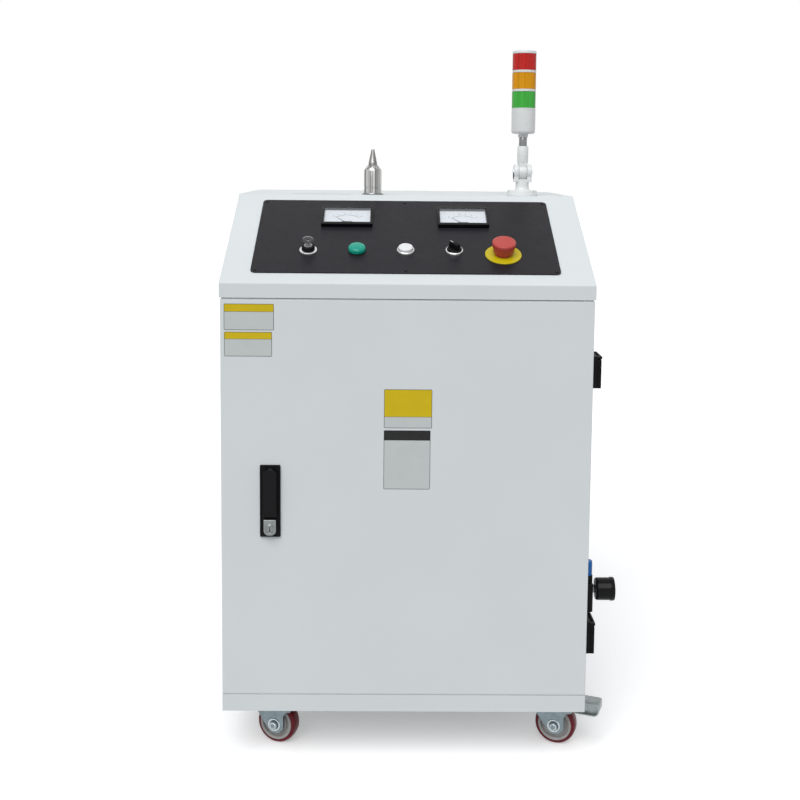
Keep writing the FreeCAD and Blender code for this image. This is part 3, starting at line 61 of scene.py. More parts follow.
# %% Where the cabinet and its desk are
LIP_TALL = 24
DESK_RISE, DESK_RUN = 133.5, 261
PLATE = 2.0
SIDE, BACK = 298.5, 598.5
BASE_TOP = 116
door_low, door_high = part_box("door_panel")
desk_low, desk_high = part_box("console_housing")
MID_X = (door_low[0] + door_high[0]) / 2
FACE_Y = door_low[1]
LIP = desk_low[2] / MM + LIP_TALL
ROOF = desk_high[2] / MM


def upright(across, back, up):
    """A frame in millimetres from the cabinet's middle, its door face and the floor."""
    return Matrix.Translation((MID_X + across * MM, FACE_Y + back * MM, up * MM))


def on_desk(across, along):
    """The frame of a piece that stands square on the control plate."""
    edge = upright(0, -1.5, LIP) @ Matrix.Rotation(math.atan2(DESK_RISE, DESK_RUN), 4, "X")
    return edge @ Matrix.Translation((across * MM, along * MM, PLATE * MM))


print(f"cabinet middle {MID_X:.4f} m, door face {FACE_Y:.4f} m, lip {LIP:.1f} mm, roof {ROOF:.1f} mm")

# %% [markdown]
# ## The camera
#
# The camera stands where the photographer stood: a little left of the machine's middle, 1.8 m
# in front of the door and just above the roof, looking slightly down. The lens is a long
# normal one. The vertical shift stands in for the crop of the picture.

# %% Camera
eye = upright(-31.0, -1827.8, LIP + 190.4)
yaw, pitch, roll = 0.0100, 0.1006, 0.0090
ahead = Vector((math.sin(yaw) * math.cos(pitch), math.cos(yaw) * math.cos(pitch), -math.sin(pitch)))
level_right = Vector((math.cos(yaw), -math.sin(yaw), 0))
level_up = level_right.cross(ahead)
right = math.cos(roll) * level_right + math.sin(roll) * level_up
above = -math.sin(roll) * level_right + math.cos(roll) * level_up
bpy.ops.object.camera_add()
camera = bpy.context.object
camera.name = "photographer"
turn = Matrix((right, above, -ahead)).transposed().to_4x4()
camera.matrix_world = eye @ turn
camera.data.lens = 52.11
camera.data.shift_y = -119.8 / 800
bpy.context.scene.camera = camera
bpy.context.scene.view_settings.view_transform = "Standard"
print("camera at", [round(c, 3) for c in eye.translation])

# %% [markdown]
# ## The studio
#
# The photograph is lit evenly from above and in front, on white. A sun lamp with a very wide
# disc gives the same soft light everywhere, so the floor has no bright spot, and the world
# fills the shadows. The floor and the world look white to the camera and in reflections, but
# send less light back to the machine than real white paper would.

# %% Light, floor and background
WHITE = (1, 1, 1, 1)


def feed(tree, node, inputs):
    """Give inputs of a shader node a plain value, or link them to the output of another node."""
    for name, value in inputs.items():
        if isinstance(value, bpy.types.NodeSocket):
            tree.links.new(value, node.inputs[name])
        else:
            node.inputs[name].default_value = value


def add_node(tree, kind, inputs, **settings):
    """Add a shader node, and give back its outputs."""
    node = tree.nodes.new("ShaderNode" + kind)
    for name, value in settings.items():
        setattr(node, name, value)
    feed(tree, node, inputs)
    return node.outputs


def looked_at(tree):
    """1 for rays from the camera, mirrors and clear things, 0 for the light itself."""
    path = add_node(tree, "LightPath", {})
    either = path["Is Camera Ray"]
    for kind in ("Is Glossy Ray", "Is Transmission Ray"):
        either = add_node(tree, "Math", {0: either, 1: path[kind]}, operation="MAXIMUM")[0]
    return either


bpy.ops.object.light_add(type="SUN", rotation=(math.radians(42), 0, math.radians(-14)))
softbox = bpy.context.object
softbox.name = "soft_light"
softbox.data.energy = 2.05
softbox.data.angle = math.radians(50)

world = bpy.data.worlds.new("white_room")
bpy.context.scene.world = world
world.use_nodes = True
tree = world.node_tree
tree.nodes.clear()
seen = add_node(tree, "Background", {"Color": WHITE, "Strength": 1.0})
felt = add_node(tree, "Background", {"Color": (0.96, 0.98, 1.0, 1), "Strength": 0.42})
blend = add_node(tree, "MixShader", {"Fac": looked_at(tree), 1: felt[0], 2: seen[0]})
add_node(tree, "OutputWorld", {"Surface": blend[0]})

bpy.ops.mesh.primitive_plane_add(size=60)
floor = bpy.context.object
floor.name = "studio_floor"
paper = bpy.data.materials.new("white_floor")
paper.use_nodes = True
tree = paper.node_tree
facing = looked_at(tree)
shade = add_node(tree, "Mix", {0: facing, 6: (0.38, 0.38, 0.38, 1), 7: (0.97, 0.97, 0.97, 1)},
                 data_type="RGBA")
glow = add_node(tree, "Math", {0: facing, 1: 0.3}, operation="MULTIPLY")
feed(tree, tree.nodes["Principled BSDF"], {
    "Base Color": shade[2], "Emission Strength": glow[0], "Emission Color": WHITE,
    "Roughness": 1.0, "Specular IOR Level": 0.0})
floor.data.materials.append(paper)
print("studio ready: one soft lamp, white floor and white world")

# %% [markdown]
# ## Finishes
#
# Every surface needs a finish with some life in it. One recipe serves them all: a slow noise
# shifts the colour a little, a second one shifts the gloss, and a fine one raises a grain. What
# changes from finish to finish is the scale and the amount. The noises read the object's own
# coordinates, in metres, so the grain has its real size on every piece.

# %% A recipe for finishes
FINISHES = {}


def noise(tree, size, detail=3.0, stretch=(1, 1, 1)):
    """A noise whose blobs are about size millimetres wide."""
    place = add_node(tree, "TexCoord", {})["Object"]
    mapped = add_node(tree, "Mapping", {"Vector": place, "Scale": stretch})["Vector"]
    cloud = {"Vector": mapped, "Scale": 1.0 / (size * MM), "Detail": detail}
    return add_node(tree, "TexNoise", cloud)["Fac"]


def spread(tree, source, low, high):
    """Turn a 0 to 1 noise into a value between low and high."""
    limits = {"Value": source, "From Min": 0.3, "From Max": 0.7, "To Min": low, "To Max": high}
    return add_node(tree, "MapRange", limits)["Result"]


def finish(name, colour, gloss, metal=0, mottle=0.05, patch=60, grain=0.01, grain_size=1,
           shine=0.5, streak=(1, 1, 1), stretch=(1, 1, 1), coat=0.0):
    """A named finish. gloss is the roughness range, lengths are in millimetres."""
    material = bpy.data.materials.new(name)
    material.use_nodes = True
    tree = material.node_tree
    dark = [c * (1 - mottle) for c in colour]
    light = [min(1.0, c * (1 + mottle)) for c in colour]
    share = spread(tree, noise(tree, patch, 3.0, streak), 0.0, 1.0)
    tint = add_node(tree, "Mix", {0: share, 6: (*dark, 1), 7: (*light, 1)}, data_type="RGBA")
    bump = add_node(tree, "Bump", {
        "Height": noise(tree, grain_size, 2.0, stretch), "Distance": grain * MM, "Strength": 1.0})
    feed(tree, tree.nodes["Principled BSDF"], {
        "Base Color": tint[2], "Roughness": spread(tree, noise(tree, patch * 0.4), *gloss),
        "Normal": bump["Normal"], "Metallic": metal, "Coat Weight": coat,
        "Specular IOR Level": shine})
    FINISHES[name] = material
    return material


# %% [markdown]
# Each row gives a colour, the range of roughness, whether it is metal, how much the colour shifts
# over patches of what size, and the height and size of the grain. A last number says how strongly
# it mirrors, where that isn't the usual half.

# %% The finishes
RECIPES = {
    "powder_coat": ((0.73, 0.77, 0.785), (0.42, 0.54), 0, 0.012, 160, 0.018, 1.1, 0.2),
    "plate_lacquer": ((0.017, 0.016, 0.02), (0.34, 0.44), 0, 0.08, 30, 0.012, 0.5, 0.12),
    "moulded_black": ((0.005, 0.005, 0.006), (0.38, 0.55), 0, 0.2, 12, 0.03, 0.35, 0.1),
    "glossy_black": ((0.004, 0.004, 0.005), (0.14, 0.24), 0, 0.2, 15, 0.004, 2, 0.13),
    "white_plastic": ((0.79, 0.81, 0.81), (0.25, 0.38), 0, 0.02, 20, 0.006, 0.8),
    "chrome": ((0.55, 0.56, 0.57), (0.06, 0.16), 1, 0.06, 10, 0.002, 1.5),
    "satin_ring": ((0.7, 0.7, 0.7), (0.2, 0.32), 1, 0.04, 5, 0.004, 0.4),
    "key_steel": ((0.3, 0.3, 0.31), (0.34, 0.5), 1, 0.2, 4, 0.006, 0.6),
    "zinc_plate": ((0.2, 0.245, 0.265), (0.3, 0.46), 1, 0.14, 9, 0.01, 1.4),
    "pedal_zinc": ((0.27, 0.3, 0.3), (0.3, 0.44), 1, 0.16, 10, 0.008, 1.2),
    "bright_zinc_and_painted_highlight": ((0.5, 0.55, 0.57), (0.2, 0.34), 1, 0.1, 4, 0.006, 0.8),
    "lock_chrome": ((0.22, 0.235, 0.235), (0.12, 0.24), 1, 0.12, 6, 0.003, 1),
    "stop_red": ((0.5, 0.06, 0.048), (0.3, 0.44), 0, 0.05, 14, 0.008, 0.5, 0.4),
    "stop_yellow": ((0.6, 0.49, 0.008), (0.26, 0.38), 0, 0.03, 20, 0.006, 0.6, 0.25),
    "lamp_green": ((0.0, 0.35, 0.245), (0.1, 0.2), 0, 0.1, 10, 0.004, 1, 0.35),
    "knob_blue": ((0.012, 0.14, 0.46), (0.25, 0.4), 0, 0.06, 9, 0.01, 0.4, 0.3),
    "tread_crimson": ((0.15, 0.004, 0.014), (0.24, 0.4), 0, 0.14, 14, 0.012, 0.9, 0.25),
    "hub_grey": ((0.44, 0.43, 0.42), (0.4, 0.55), 0, 0.08, 10, 0.01, 0.6, 0.3),
    "foam_rubber": ((0.022, 0.022, 0.023), (0.75, 0.9), 0, 0.2, 6, 0.12, 0.7),
    "dial_card": ((0.8, 0.83, 0.87), (0.6, 0.75), 0, 0.01, 12, 0.004, 0.3),
    "print_black_and_painted_shade": ((0.02, 0.02, 0.02), (0.5, 0.7), 0, 0.2, 3, 0.002, 0.2, 0.2),
    "print_white": ((0.78, 0.78, 0.78), (0.5, 0.7), 0, 0.03, 3, 0.002, 0.2),
    "label_white": ((0.56, 0.6, 0.59), (0.3, 0.42), 0, 0.02, 18, 0.006, 1.2),
    "label_yellow": ((0.66, 0.49, 0.008), (0.3, 0.42), 0, 0.03, 18, 0.006, 1.2, 0.25),
    "cast_aluminium": ((0.42, 0.43, 0.45), (0.35, 0.5), 1, 0.06, 25, 0.02, 0.6),
}
for name, recipe in RECIPES.items():
    finish(name, *recipe)
print("finishes mixed:", len(FINISHES))

# %% [markdown]
# Some finishes need more than a row. The torch is drawn steel with a fine upright grain, and its colour runs
# in strong dark and bright upright bands: painted reflections of the studio. Its nozzle shows the fine rings
# that the tool left. The tower's lenses are streaked upright in colour: painted light and shade, as their
# ribs would spread it. The iron shows its sheets. The meters' windows are clear: they let the dial through
# and keep only a faint gloss.

# %% Streaked finishes and window glass
finish("button_white", (0.83, 0.84, 0.86), (0.18, 0.3), mottle=0.02, patch=8, grain=0.003, coat=0.2)
# The lens colours vary in upright streaks: painted light and shade, standing for the light their ribs
# spread.
for name, colour, mottle, shine in (("lens_red", (0.58, 0.014, 0.010), 0.12, 0.3),
                                    ("lens_amber", (0.76, 0.34, 0.003), 0.12, 0.2),
                                    ("lens_green", (0.055, 0.46, 0.055), 0.14, 0.3)):
    finish(name, colour, (0.14, 0.24), mottle=mottle, patch=6, grain=0.004, shine=shine,
           streak=(1, 1, 0.05))
finish("varnished_iron", (0.05, 0.045, 0.045), (0.35, 0.6), mottle=0.3, patch=18,
       grain=0.05, grain_size=0.5, stretch=(1, 18, 1))
# Painted reflections: the colour runs from near black to bright in upright bands round the torch.
finish("steel_with_painted_reflections", (0.36, 0.36, 0.355), (0.2, 0.34), metal=1.0, mottle=0.85, patch=3.2,
       grain=0.006, grain_size=1.6, stretch=(1, 1, 0.02), streak=(1, 1, 0.003))
finish("nozzle_steel", (0.22, 0.215, 0.21), (0.28, 0.42), metal=1.0, mottle=0.3, patch=5,
       grain=0.012, grain_size=2.5, stretch=(0.02, 0.02, 8), streak=(1, 1, 0.1))
glass = finish("window_glass", (0.85, 0.9, 0.95), (0.02, 0.05), mottle=0.02, patch=30, grain=0.001,
               grain_size=8, shine=0.3)
glass.node_tree.nodes["Principled BSDF"].inputs["Alpha"].default_value = 0.1
print("finishes now:", len(FINISHES))

# %% [markdown]
# ## Tools for shaping
#
# Round pieces are built as on a lathe drawing: a disc of the foot's radius is extruded step by
# step, and each new ring is scaled to its radius. A hollow ring starts as an open circle, which
# is extruded round its whole section until the last ring is welded to the first. Flat pieces
# start as a block. A small bevel then softens all sharp edges, because a perfectly sharp edge
# never catches the light.

# %% Round pieces and blocks
def deselect():
    if bpy.context.mode != "OBJECT":
        bpy.ops.object.mode_set(mode="OBJECT")
    bpy.ops.object.select_all(action="DESELECT")


def pick(piece):
    """Make one piece the active and only selected one."""
    deselect()
    piece.select_set(True)
    bpy.context.view_layer.objects.active = piece


def lathe(name, steps, sides, fill, extrude):
    """Extrude a circle through steps of (radius, height), in millimetres."""
    radius, height = steps[0]
    deselect()
    bpy.ops.mesh.primitive_circle_add(vertices=sides, radius=radius * MM, fill_type=fill)
    piece = bpy.context.object
    piece.name = name
    bpy.ops.object.mode_set(mode="EDIT")
    bpy.ops.mesh.select_all(action="SELECT")
    bpy.ops.transform.translate(value=(0, 0, height * MM))
    for next_radius, next_height in steps[1:]:
        extrude(TRANSFORM_OT_translate={"value": (0, 0, (next_height - height) * MM)})
        grow = next_radius / radius
        bpy.ops.transform.resize(value=(grow, grow, 1), center_override=(0, 0, next_height * MM))
        radius, height = next_radius, next_height
    bpy.ops.mesh.select_all(action="SELECT")
    if steps[0] == steps[-1]:
        bpy.ops.mesh.remove_doubles(threshold=0.004 * MM)
    bpy.ops.mesh.normals_make_consistent(inside=False)
    bpy.ops.object.mode_set(mode="OBJECT")
    return piece


def turned(name, steps, sides=72):
    """A round piece from its foot upwards."""
    return lathe(name, steps, sides, "NGON", bpy.ops.mesh.extrude_region_move)


def hoop(name, section, sides=72):
    """A hollow round piece, whose section is a closed run of steps."""
    return lathe(name, [*section, section[0]], sides, "NOTHING", bpy.ops.mesh.extrude_edges_move)


def block(name, low, high):
    """A block between two corners, in millimetres."""
    deselect()
    middle = [(a + b) / 2 * MM for a, b in zip(low, high)]
    size = [(b - a) * MM for a, b in zip(low, high)]
    bpy.ops.mesh.primitive_cube_add(size=1, location=middle, scale=size)
    piece = bpy.context.object
    piece.name = name
    bpy.ops.object.transform_apply(location=True, rotation=True, scale=True)
    return piece


print("tools ready: turned, hoop, block")

# %% [markdown]
# Three more tools change a piece: they round chosen edges, sink a face or cut a shape out.

# %% Rounding, sinking and carving
def select_parts(piece, kind, test):
    """Open a piece for editing with only the faces or edges that the test accepts selected."""
    pick(piece)
    bpy.ops.object.mode_set(mode="EDIT")
    bpy.ops.mesh.select_mode(type=kind)
    bpy.ops.mesh.select_all(action="DESELECT")
    shape = bmesh.from_edit_mesh(piece.data)
    shape.normal_update()
    for part in (shape.faces if kind == "FACE" else shape.edges):
        if test(part):
            part.select_set(True)
    shape.select_flush_mode()
    bmesh.update_edit_mesh(piece.data)


def soften(piece, width, segments=3, angle=30):
    """Round off every sharp edge of a piece."""
    pick(piece)
    bevel = piece.modifiers.new("soft_edges", "BEVEL")
    bevel.width = width * MM
    bevel.segments = segments
    bevel.limit_method = "ANGLE"
    bevel.angle_limit = math.radians(angle)
    bevel.use_clamp_overlap = True
    bpy.ops.object.modifier_apply(modifier=bevel.name)
    return piece


def round_edges(piece, test, radius, segments=8):
    """Round the edges that the test accepts."""
    select_parts(piece, "EDGE", test)
    bpy.ops.mesh.bevel(offset=radius * MM, segments=segments, affect="EDGES")
    bpy.ops.object.mode_set(mode="OBJECT")
    return piece


def upright_edges(edge):
    a, b = (v.co for v in edge.verts)
    return abs((b - a).normalized().z) > 0.999


def round_corners(piece, radius, segments=8):
    """Round the four upright edges of a block."""
    return round_edges(piece, upright_edges, radius, segments)


def sink(piece, margin, depth, slope=0.6):
    """Sink the upper face inside an even margin, with walls that lean in by slope."""
    select_parts(piece, "FACE", lambda face: face.normal.z > 0.9)
    top = [face for face in bmesh.from_edit_mesh(piece.data).faces if face.select]
    spots = [v.co.copy() for face in top for v in face.verts]
    low = Vector([min(p[axis] for p in spots) for axis in range(3)])
    high = Vector([max(p[axis] for p in spots) for axis in range(3)])
    middle, size = (low + high) / 2, (high - low) / MM
    for inset, drop in ((margin, 0), (slope, depth)):
        bpy.ops.mesh.extrude_region_move(TRANSFORM_OT_translate={"value": (0, 0, -drop * MM)})
        grow = [(length - 2 * inset) / length for length in size.xy]
        bpy.ops.transform.resize(value=(*grow, 1), center_override=middle)
        size = size - Vector((2 * inset, 2 * inset, 0))
    bpy.ops.object.mode_set(mode="OBJECT")
    return piece


def carve(piece, cutter):
    """Cut one piece out of another and throw the cutter away."""
    pick(piece)
    cut = piece.modifiers.new("carved", "BOOLEAN")
    cut.operation = "DIFFERENCE"
    cut.solver = "EXACT"
    cut.object = cutter
    bpy.ops.object.modifier_apply(modifier=cut.name)
    bpy.data.objects.remove(cutter)
    return piece


print("tools ready: soften, round_edges, sink, carve")

# %% [markdown]
# A finished piece is dressed, set on its body and, where it stands for a solid, hides that one.

# %% Placing and joining
def placed(piece, seat):
    """Move a piece into a frame, and keep its own origin at zero, unturned and unscaled."""
    pick(piece)
    piece.matrix_world = seat @ piece.matrix_world
    bpy.ops.object.transform_apply(location=True, rotation=True, scale=True)
    return piece


def moved(piece, shift):
    """Move a loose piece, in millimetres."""
    return placed(piece, Matrix.Translation(Vector(shift) * MM))


def turned_about(piece, angle, axis="Z", shift=(0, 0, 0)):
    """Turn a loose piece by an angle in degrees, then move it, in millimetres."""
    return moved(placed(piece, Matrix.Rotation(math.radians(angle), 4, axis)), shift)


def join(name, pieces):
    pick(pieces[0])
    for other in pieces[1:]:
        other.select_set(True)
    if len(pieces) > 1:
        bpy.ops.object.join()
    pieces[0].name = name
    return pieces[0]


def stand(piece, finish_name, seat, body, node=None):
    """Finish a piece, set it in its place on its body, and hide the solid that it stands for."""
    piece.data.materials.clear()
    piece.data.materials.append(FINISHES[finish_name])
    placed(piece, seat)
    bpy.ops.object.shade_smooth_by_angle(angle=math.radians(35))
    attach(piece, body)
    if node:
        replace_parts(piece, node)
    return piece


print("tools ready: placed, moved, turned_about, join, stand")

# %% [markdown]
# ## Finishes for the solids that stay
#
# Folded sheet metal is already right as a solid: flat panels with crisp folds. Those solids only
# get their finish. The list says which finish each one wears.

# %% Finish the sheet metal and the inner equipment
CORNERS = ("front_left", "front_right", "rear_left", "rear_right")
WEARS = {
    "powder_coat": ["base_tray", "left_side_panel", "right_side_panel", "rear_panel", "front_frame",
                    "console_housing", "door_panel"],
    "plate_lacquer": ["control_plate"],
    "foam_rubber": ["door_seal"],
    "moulded_black": ["contact_blocks", "fan_housing", "fan_rotor", "socket_housings", "upper_socket_lid",
                      "lower_socket_lid", "regulator_body", "gauge_case", "air_valve", "meter_cases",
                      "mode_selector_knob", "control_rims", "lock_plate", "lock_lever"],
    "zinc_plate": ["mounting_plate", "castor_plates", "brake_pedal", "panel_screws",
                   *(corner + "_fork" for corner in CORNERS)],
    "chrome": ["lock_cam", "lock_cylinder", "power_key"],
    "varnished_iron": ["high_voltage_transformer"],
    "cast_aluminium": ["power_unit"],
    "print_black_and_painted_shade": ["voltmeter_needle", "ammeter_needle", "gauge_needle"],
    "window_glass": ["meter_windows"],
    "tread_crimson": [corner + "_wheel" for corner in CORNERS],
    "steel_with_painted_reflections": ["torch_body", "torch_holder", "tower_neck"],
    "nozzle_steel": ["torch_nozzle"],
    "white_plastic": ["tower_housing", "tower_foot", "run_button_cap"],
    "stop_red": ["stop_head", "stop_collar", "stop_stem"],
    "stop_yellow": ["stop_plate"],
    "lamp_green": ["power_lamp_lens"],
    "lens_red": ["tower_lens_red"],
    "lens_amber": ["tower_lens_amber"],
    "lens_green": ["tower_lens_green"],
    "knob_blue": ["regulator_knob"],
}
for finish_name, names in WEARS.items():
    for name in names:
        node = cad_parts[name]
        node.data.materials.clear()
        node.data.materials.append(FINISHES[finish_name])
print("solids finished:", sum(len(names) for names in WEARS.values()))

# %% [markdown]
# ## The signal tower
#
# The tower is a stack of turned plastic: a white housing, three coloured lenses and the rings
# between them. Each lens is moulded with fine upright ribs that spread its light. They are made
# by insetting every second face of the lens's wall, which leaves shallow flutes.

# %% Lenses, rings and housing
TOWER = upright(212, 295, ROOF)
LAMP = 21.6
STACK, HOUSE, LENS, PITCH = 112, 46.5, 29.3, 33.8
FINE = 96


def flute(piece, low, high, depth):
    """Press every second face of a round wall inwards, between two heights."""
    def second(face):
        middle = face.calc_center_median()
        place = round(math.degrees(math.atan2(middle.y, middle.x)) * FINE / 360)
        return abs(face.normal.z) < 0.1 and low * MM < middle.z < high * MM and place % 2 == 1

    select_parts(piece, "FACE", second)
    bpy.ops.mesh.inset(thickness=0.2 * MM, depth=-depth * MM, use_individual=True)
    bpy.ops.object.mode_set(mode="OBJECT")


for step, colour in enumerate(("green", "amber", "red")):
    wall = LAMP - 0.2
    lens = turned("lens_" + colour, [(wall - 0.6, 0), (wall, 0.4), (wall, 28.9), (wall - 0.6, LENS)], FINE)
    flute(lens, 0.5, 28.8, 0.35)
    moved(lens, (0, 0, STACK + HOUSE + step * PITCH))
    stand(lens, "lens_" + colour, TOWER, "tower_head", "tower_lens_" + colour)

house = turned("tower_house", [
    (LAMP - 5, 0), (LAMP - 2.5, 0.6), (LAMP - 0.6, 2.6), (LAMP, 5.5), (LAMP, 43.2), (LAMP - 0.5, 43.4),
    (LAMP - 0.5, 44.2), (LAMP, 44.4), (LAMP, 46), (LAMP - 0.5, HOUSE)], FINE)
ring_steps = [(LAMP - 0.6, 0), (LAMP, 0.5), (LAMP, 4.0), (LAMP - 0.6, 4.5)]
cap_steps = [(LAMP - 0.5, 0), (LAMP, 0.5), (LAMP, 3.6), (LAMP - 0.6, 4.9), (LAMP - 2.2, 5.8), (LAMP - 5, 6)]
whites = [moved(house, (0, 0, STACK))]
for step, steps in enumerate((ring_steps, ring_steps, cap_steps)):
    whites.append(moved(turned("tower_ring", steps, FINE), (0, 0, STACK + HOUSE + LENS + step * PITCH)))
stand(join("tower_white", whites), "white_plastic", TOWER, "tower_head", "tower_housing")
print("lenses, housing, rings and cap stacked", STACK + HOUSE + LENS + 2 * PITCH + 6, "mm above the roof")

# %% [markdown]
# Under the lamps a short chromed pole stands in a white sleeve. The sleeve is one piece with the
# tongue of the fold joint, whose screw lets the tower be laid back for transport. The foot has
# two ears that take the tongue between them.

# %% Pole, sleeve and foot
FOLD = 43
WELLS, FIRST_WELL = 20.5, -42
pole = turned("tower_pole", [(7.3, 88), (7.3, 106.4), (7.1, 106.8)], 64)
stand(pole, "lock_chrome", TOWER, "tower_head")
sleeve = turned("tower_sleeve", [
    (7.6, 57.8), (8.8, 58), (9.4, 59), (10, 62), (10, 70), (9.6, 70.3), (9.6, 71.4), (10, 71.7), (10, 88.6),
    (9.2, 89.8), (7.4, 90)], 64)
collar = turned("tower_collar", [(7.35, 106), (8.6, 106.2), (9.2, 107.4), (9.2, 112)], 64)
tongue = block("tower_tongue", (-6.9, -9, FOLD), (6.9, 9, 60))
knuckle = turned_about(turned("tower_knuckle", [(12.9, -6.9), (12.9, 6.9)], 64), 90, "Y", (0, 0, FOLD))
for part in (tongue, knuckle):
    soften(part, 0.5)
neck = join("tower_sleeve", [sleeve, collar, tongue, knuckle])
stand(neck, "white_plastic", TOWER, "tower_head", "tower_neck")

foot = turned("tower_foot_disc", [
    (26.9, 0), (27.5, 0.6), (27.5, 7.4), (26.9, 8.9), (25.4, 9.8), (15.2, 10), (13.6, 11), (12.6, 13.5),
    (12, 17), (12, 29), (11.6, 29.5)], FINE)
foot_screws = []
for step in range(3):
    turn = step * 120 + FIRST_WELL
    shift = (WELLS * math.cos(math.radians(turn)), WELLS * math.sin(math.radians(turn)), 0)
    carve(foot, moved(turned("screw_well", [(3.5, 4), (3.5, 12)], 32), shift))
    carve(foot, turned_about(block("well_mouth", (WELLS, -3.5, 4), (30, 3.5, 12)), turn))
    screw = turned("foot_screw", [(3.1, 4), (3.1, 7.4), (2.5, 8.2), (1.2, 8.2), (1.2, 7)], 32)
    foot_screws.append(moved(screw, shift))
ears = []
for side in (-1, 1):
    ear = turned("tower_ear", [(13.9, side * 7.5), (13.9, side * 15.6), (13.5, side * 16)], 64)
    turned_about(ear, 90, "Y", (0, 0, FOLD))
    inner, outer = sorted((side * 7.5, side * 16))
    cheek = block("tower_cheek", (inner, -11, 25), (outer, 11, FOLD))
    ears += [soften(ear, 0.4), soften(cheek, 0.8)]
stand(join("tower_base", [foot, *ears]), "white_plastic", TOWER, "cabinet", "tower_foot")
stand(join("foot_screws", foot_screws), "print_black_and_painted_shade", TOWER, "cabinet")

pin_heads = []
for side in (-1, 1):
    sides = 6 if side < 0 else 48
    head = turned("fold_screw", [(5.2, 0), (5.2, 1.2), (4.6, 1.9), (2.6, 1.9), (2.4, 0.9)], sides)
    pin_heads.append(turned_about(head, side * 90, "Y", (side * 15.9, 0, FOLD)))
stand(join("fold_screw", pin_heads), "bright_zinc_and_painted_highlight", TOWER, "cabinet")
print("fold joint built:", len(ears), "ear parts and", len(pin_heads), "screw heads")

# %% [markdown]
# ## The torch
#
# The torch is turned steel. Its nozzle is a long cone with a small bright bore at the tip, from
# which the plasma comes. It stands loose in a holder with a collar, and lifts straight out.

# %% Torch, nozzle and holder
TORCH = upright(-61, 279, ROOF)
torch = turned("torch_barrel", [
    (13.6, -62), (15.8, -60), (15.8, 11), (15.3, 11.5), (15.3, 13.5), (15.8, 14), (15.8, 43.4), (15.3, 44.8),
    (8.6, 53.7), (8, 54)], FINE)
stand(torch, "steel_with_painted_reflections", TORCH, "torch", "torch_body")
nozzle = turned("torch_tip", [
    (7.4, 54), (7.7, 54.4), (7.7, 57.6), (7.4, 58.2), (2.9, 80.6), (2.6, 81.3), (1.6, 81.5), (1.2, 81.2),
    (1.2, 72)], 72)
stand(nozzle, "nozzle_steel", TORCH, "torch", "torch_nozzle")
holder = turned("torch_socket", [
    (17.4, -66), (17.8, -65.5), (17.8, 0), (19.6, 0), (20, 0.4), (20, 1.1), (19.6, 1.5), (18, 1.6),
    (17.7, 2.6), (17.3, 3), (16.4, 3), (16.1, 2.6), (16.1, -62)], FINE)
stand(holder, "lock_chrome", TORCH, "cabinet", "torch_holder")
print("torch turned: tip at", round(ROOF + 81.5, 1), "mm")

# %% [markdown]
# ## The control desk
#
# All round controls belong to one series: a rim of 29.4 mm, a threaded barrel through the plate
# and something in the middle that turns, lights up or is pressed. Four of them stand in a row,
# and the larger stop button ends the row a little lower.

# %% Where the controls stand
ROW, STOP_ROW = 97, 87
KEY_X, LAMP_X, RUN_X, MODE_X, STOP_X = (-3 + step * 80.5 for step in range(-2, 3))
print("five controls at", KEY_X, LAMP_X, RUN_X, MODE_X, STOP_X)

# %% [markdown]
# The four small controls share their rims. The key switch has a tall black barrel in a bright
# ring, the lamp a plain black seat, and the button and the selector a bright cup that their
# caps sink into.

# %% Rims and barrels
key_ring = hoop("key_ring", [(14.7, 0), (14.7, 1.5), (14.1, 2.3), (12.2, 2.9), (11.05, 2.9), (11.05, 0)])
lamp_seat = hoop("lamp_seat", [(14.7, 0), (14.7, 1.1), (14.3, 1.5), (9.5, 1.5), (9.5, 0)])
cup_section = [(14.7, 0), (14.7, 3.2), (14.2, 4.1), (13.4, 4.5), (12.8, 4.4), (12.5, 4.0), (12.5, 1.0),
               (9.5, 1.0), (9.5, 0)]
rims = [(key_ring, KEY_X), (hoop("run_cup", cup_section), RUN_X), (hoop("mode_cup", cup_section), MODE_X)]
for ring, across in rims:
    stand(ring, "satin_ring", on_desk(across, ROW), "cabinet")
stand(lamp_seat, "moulded_black", on_desk(LAMP_X, ROW), "cabinet")

barrels = []
for across in (KEY_X, LAMP_X, RUN_X, MODE_X):
    if across == KEY_X:
        steps = [(11, -26), (11, 8.4), (10.3, 9.6), (9.6, 10), (8, 10), (7.5, 9.6), (7.5, -7)]
    else:
        steps = [(11, -26), (11, -0.1), (9.5, -0.1), (9.5, -7)]
    barrel = hoop("barrel", [*steps, (0.1, -7), (0.1, -26)])
    nut = soften(turned("barrel_nut", [(13.6, -6.5), (13.6, -2.2)], 6), 0.4)
    barrels.append(placed(join("barrel", [barrel, nut]), on_desk(across, ROW)))
stand(join("control_barrels", barrels),
      "moulded_black", Matrix.Identity(4), "cabinet", "control_rims")
print("rims and barrels set")

# %% Lamp, button and selector
lens = turned("lamp_lens", [(14.1, 1.5), (14.4, 1.8), (14.4, 5.6), (13.9, 7.2), (12.6, 8.8), (10.8, 9.8),
                            (7, 10.4), (2, 10.8)])
stand(lens, "lamp_green", on_desk(LAMP_X, ROW), "cabinet", "power_lamp_lens")

cap = turned("run_cap", [(9.2, -3), (9.2, 4.3), (11.6, 4.35), (12, 4.8), (12, 7.2), (11.6, 8.2), (10.6, 8.9),
                         (8, 9.3), (3, 9.5)])
stand(cap, "button_white", on_desk(RUN_X, ROW), "run_button", "run_button_cap")

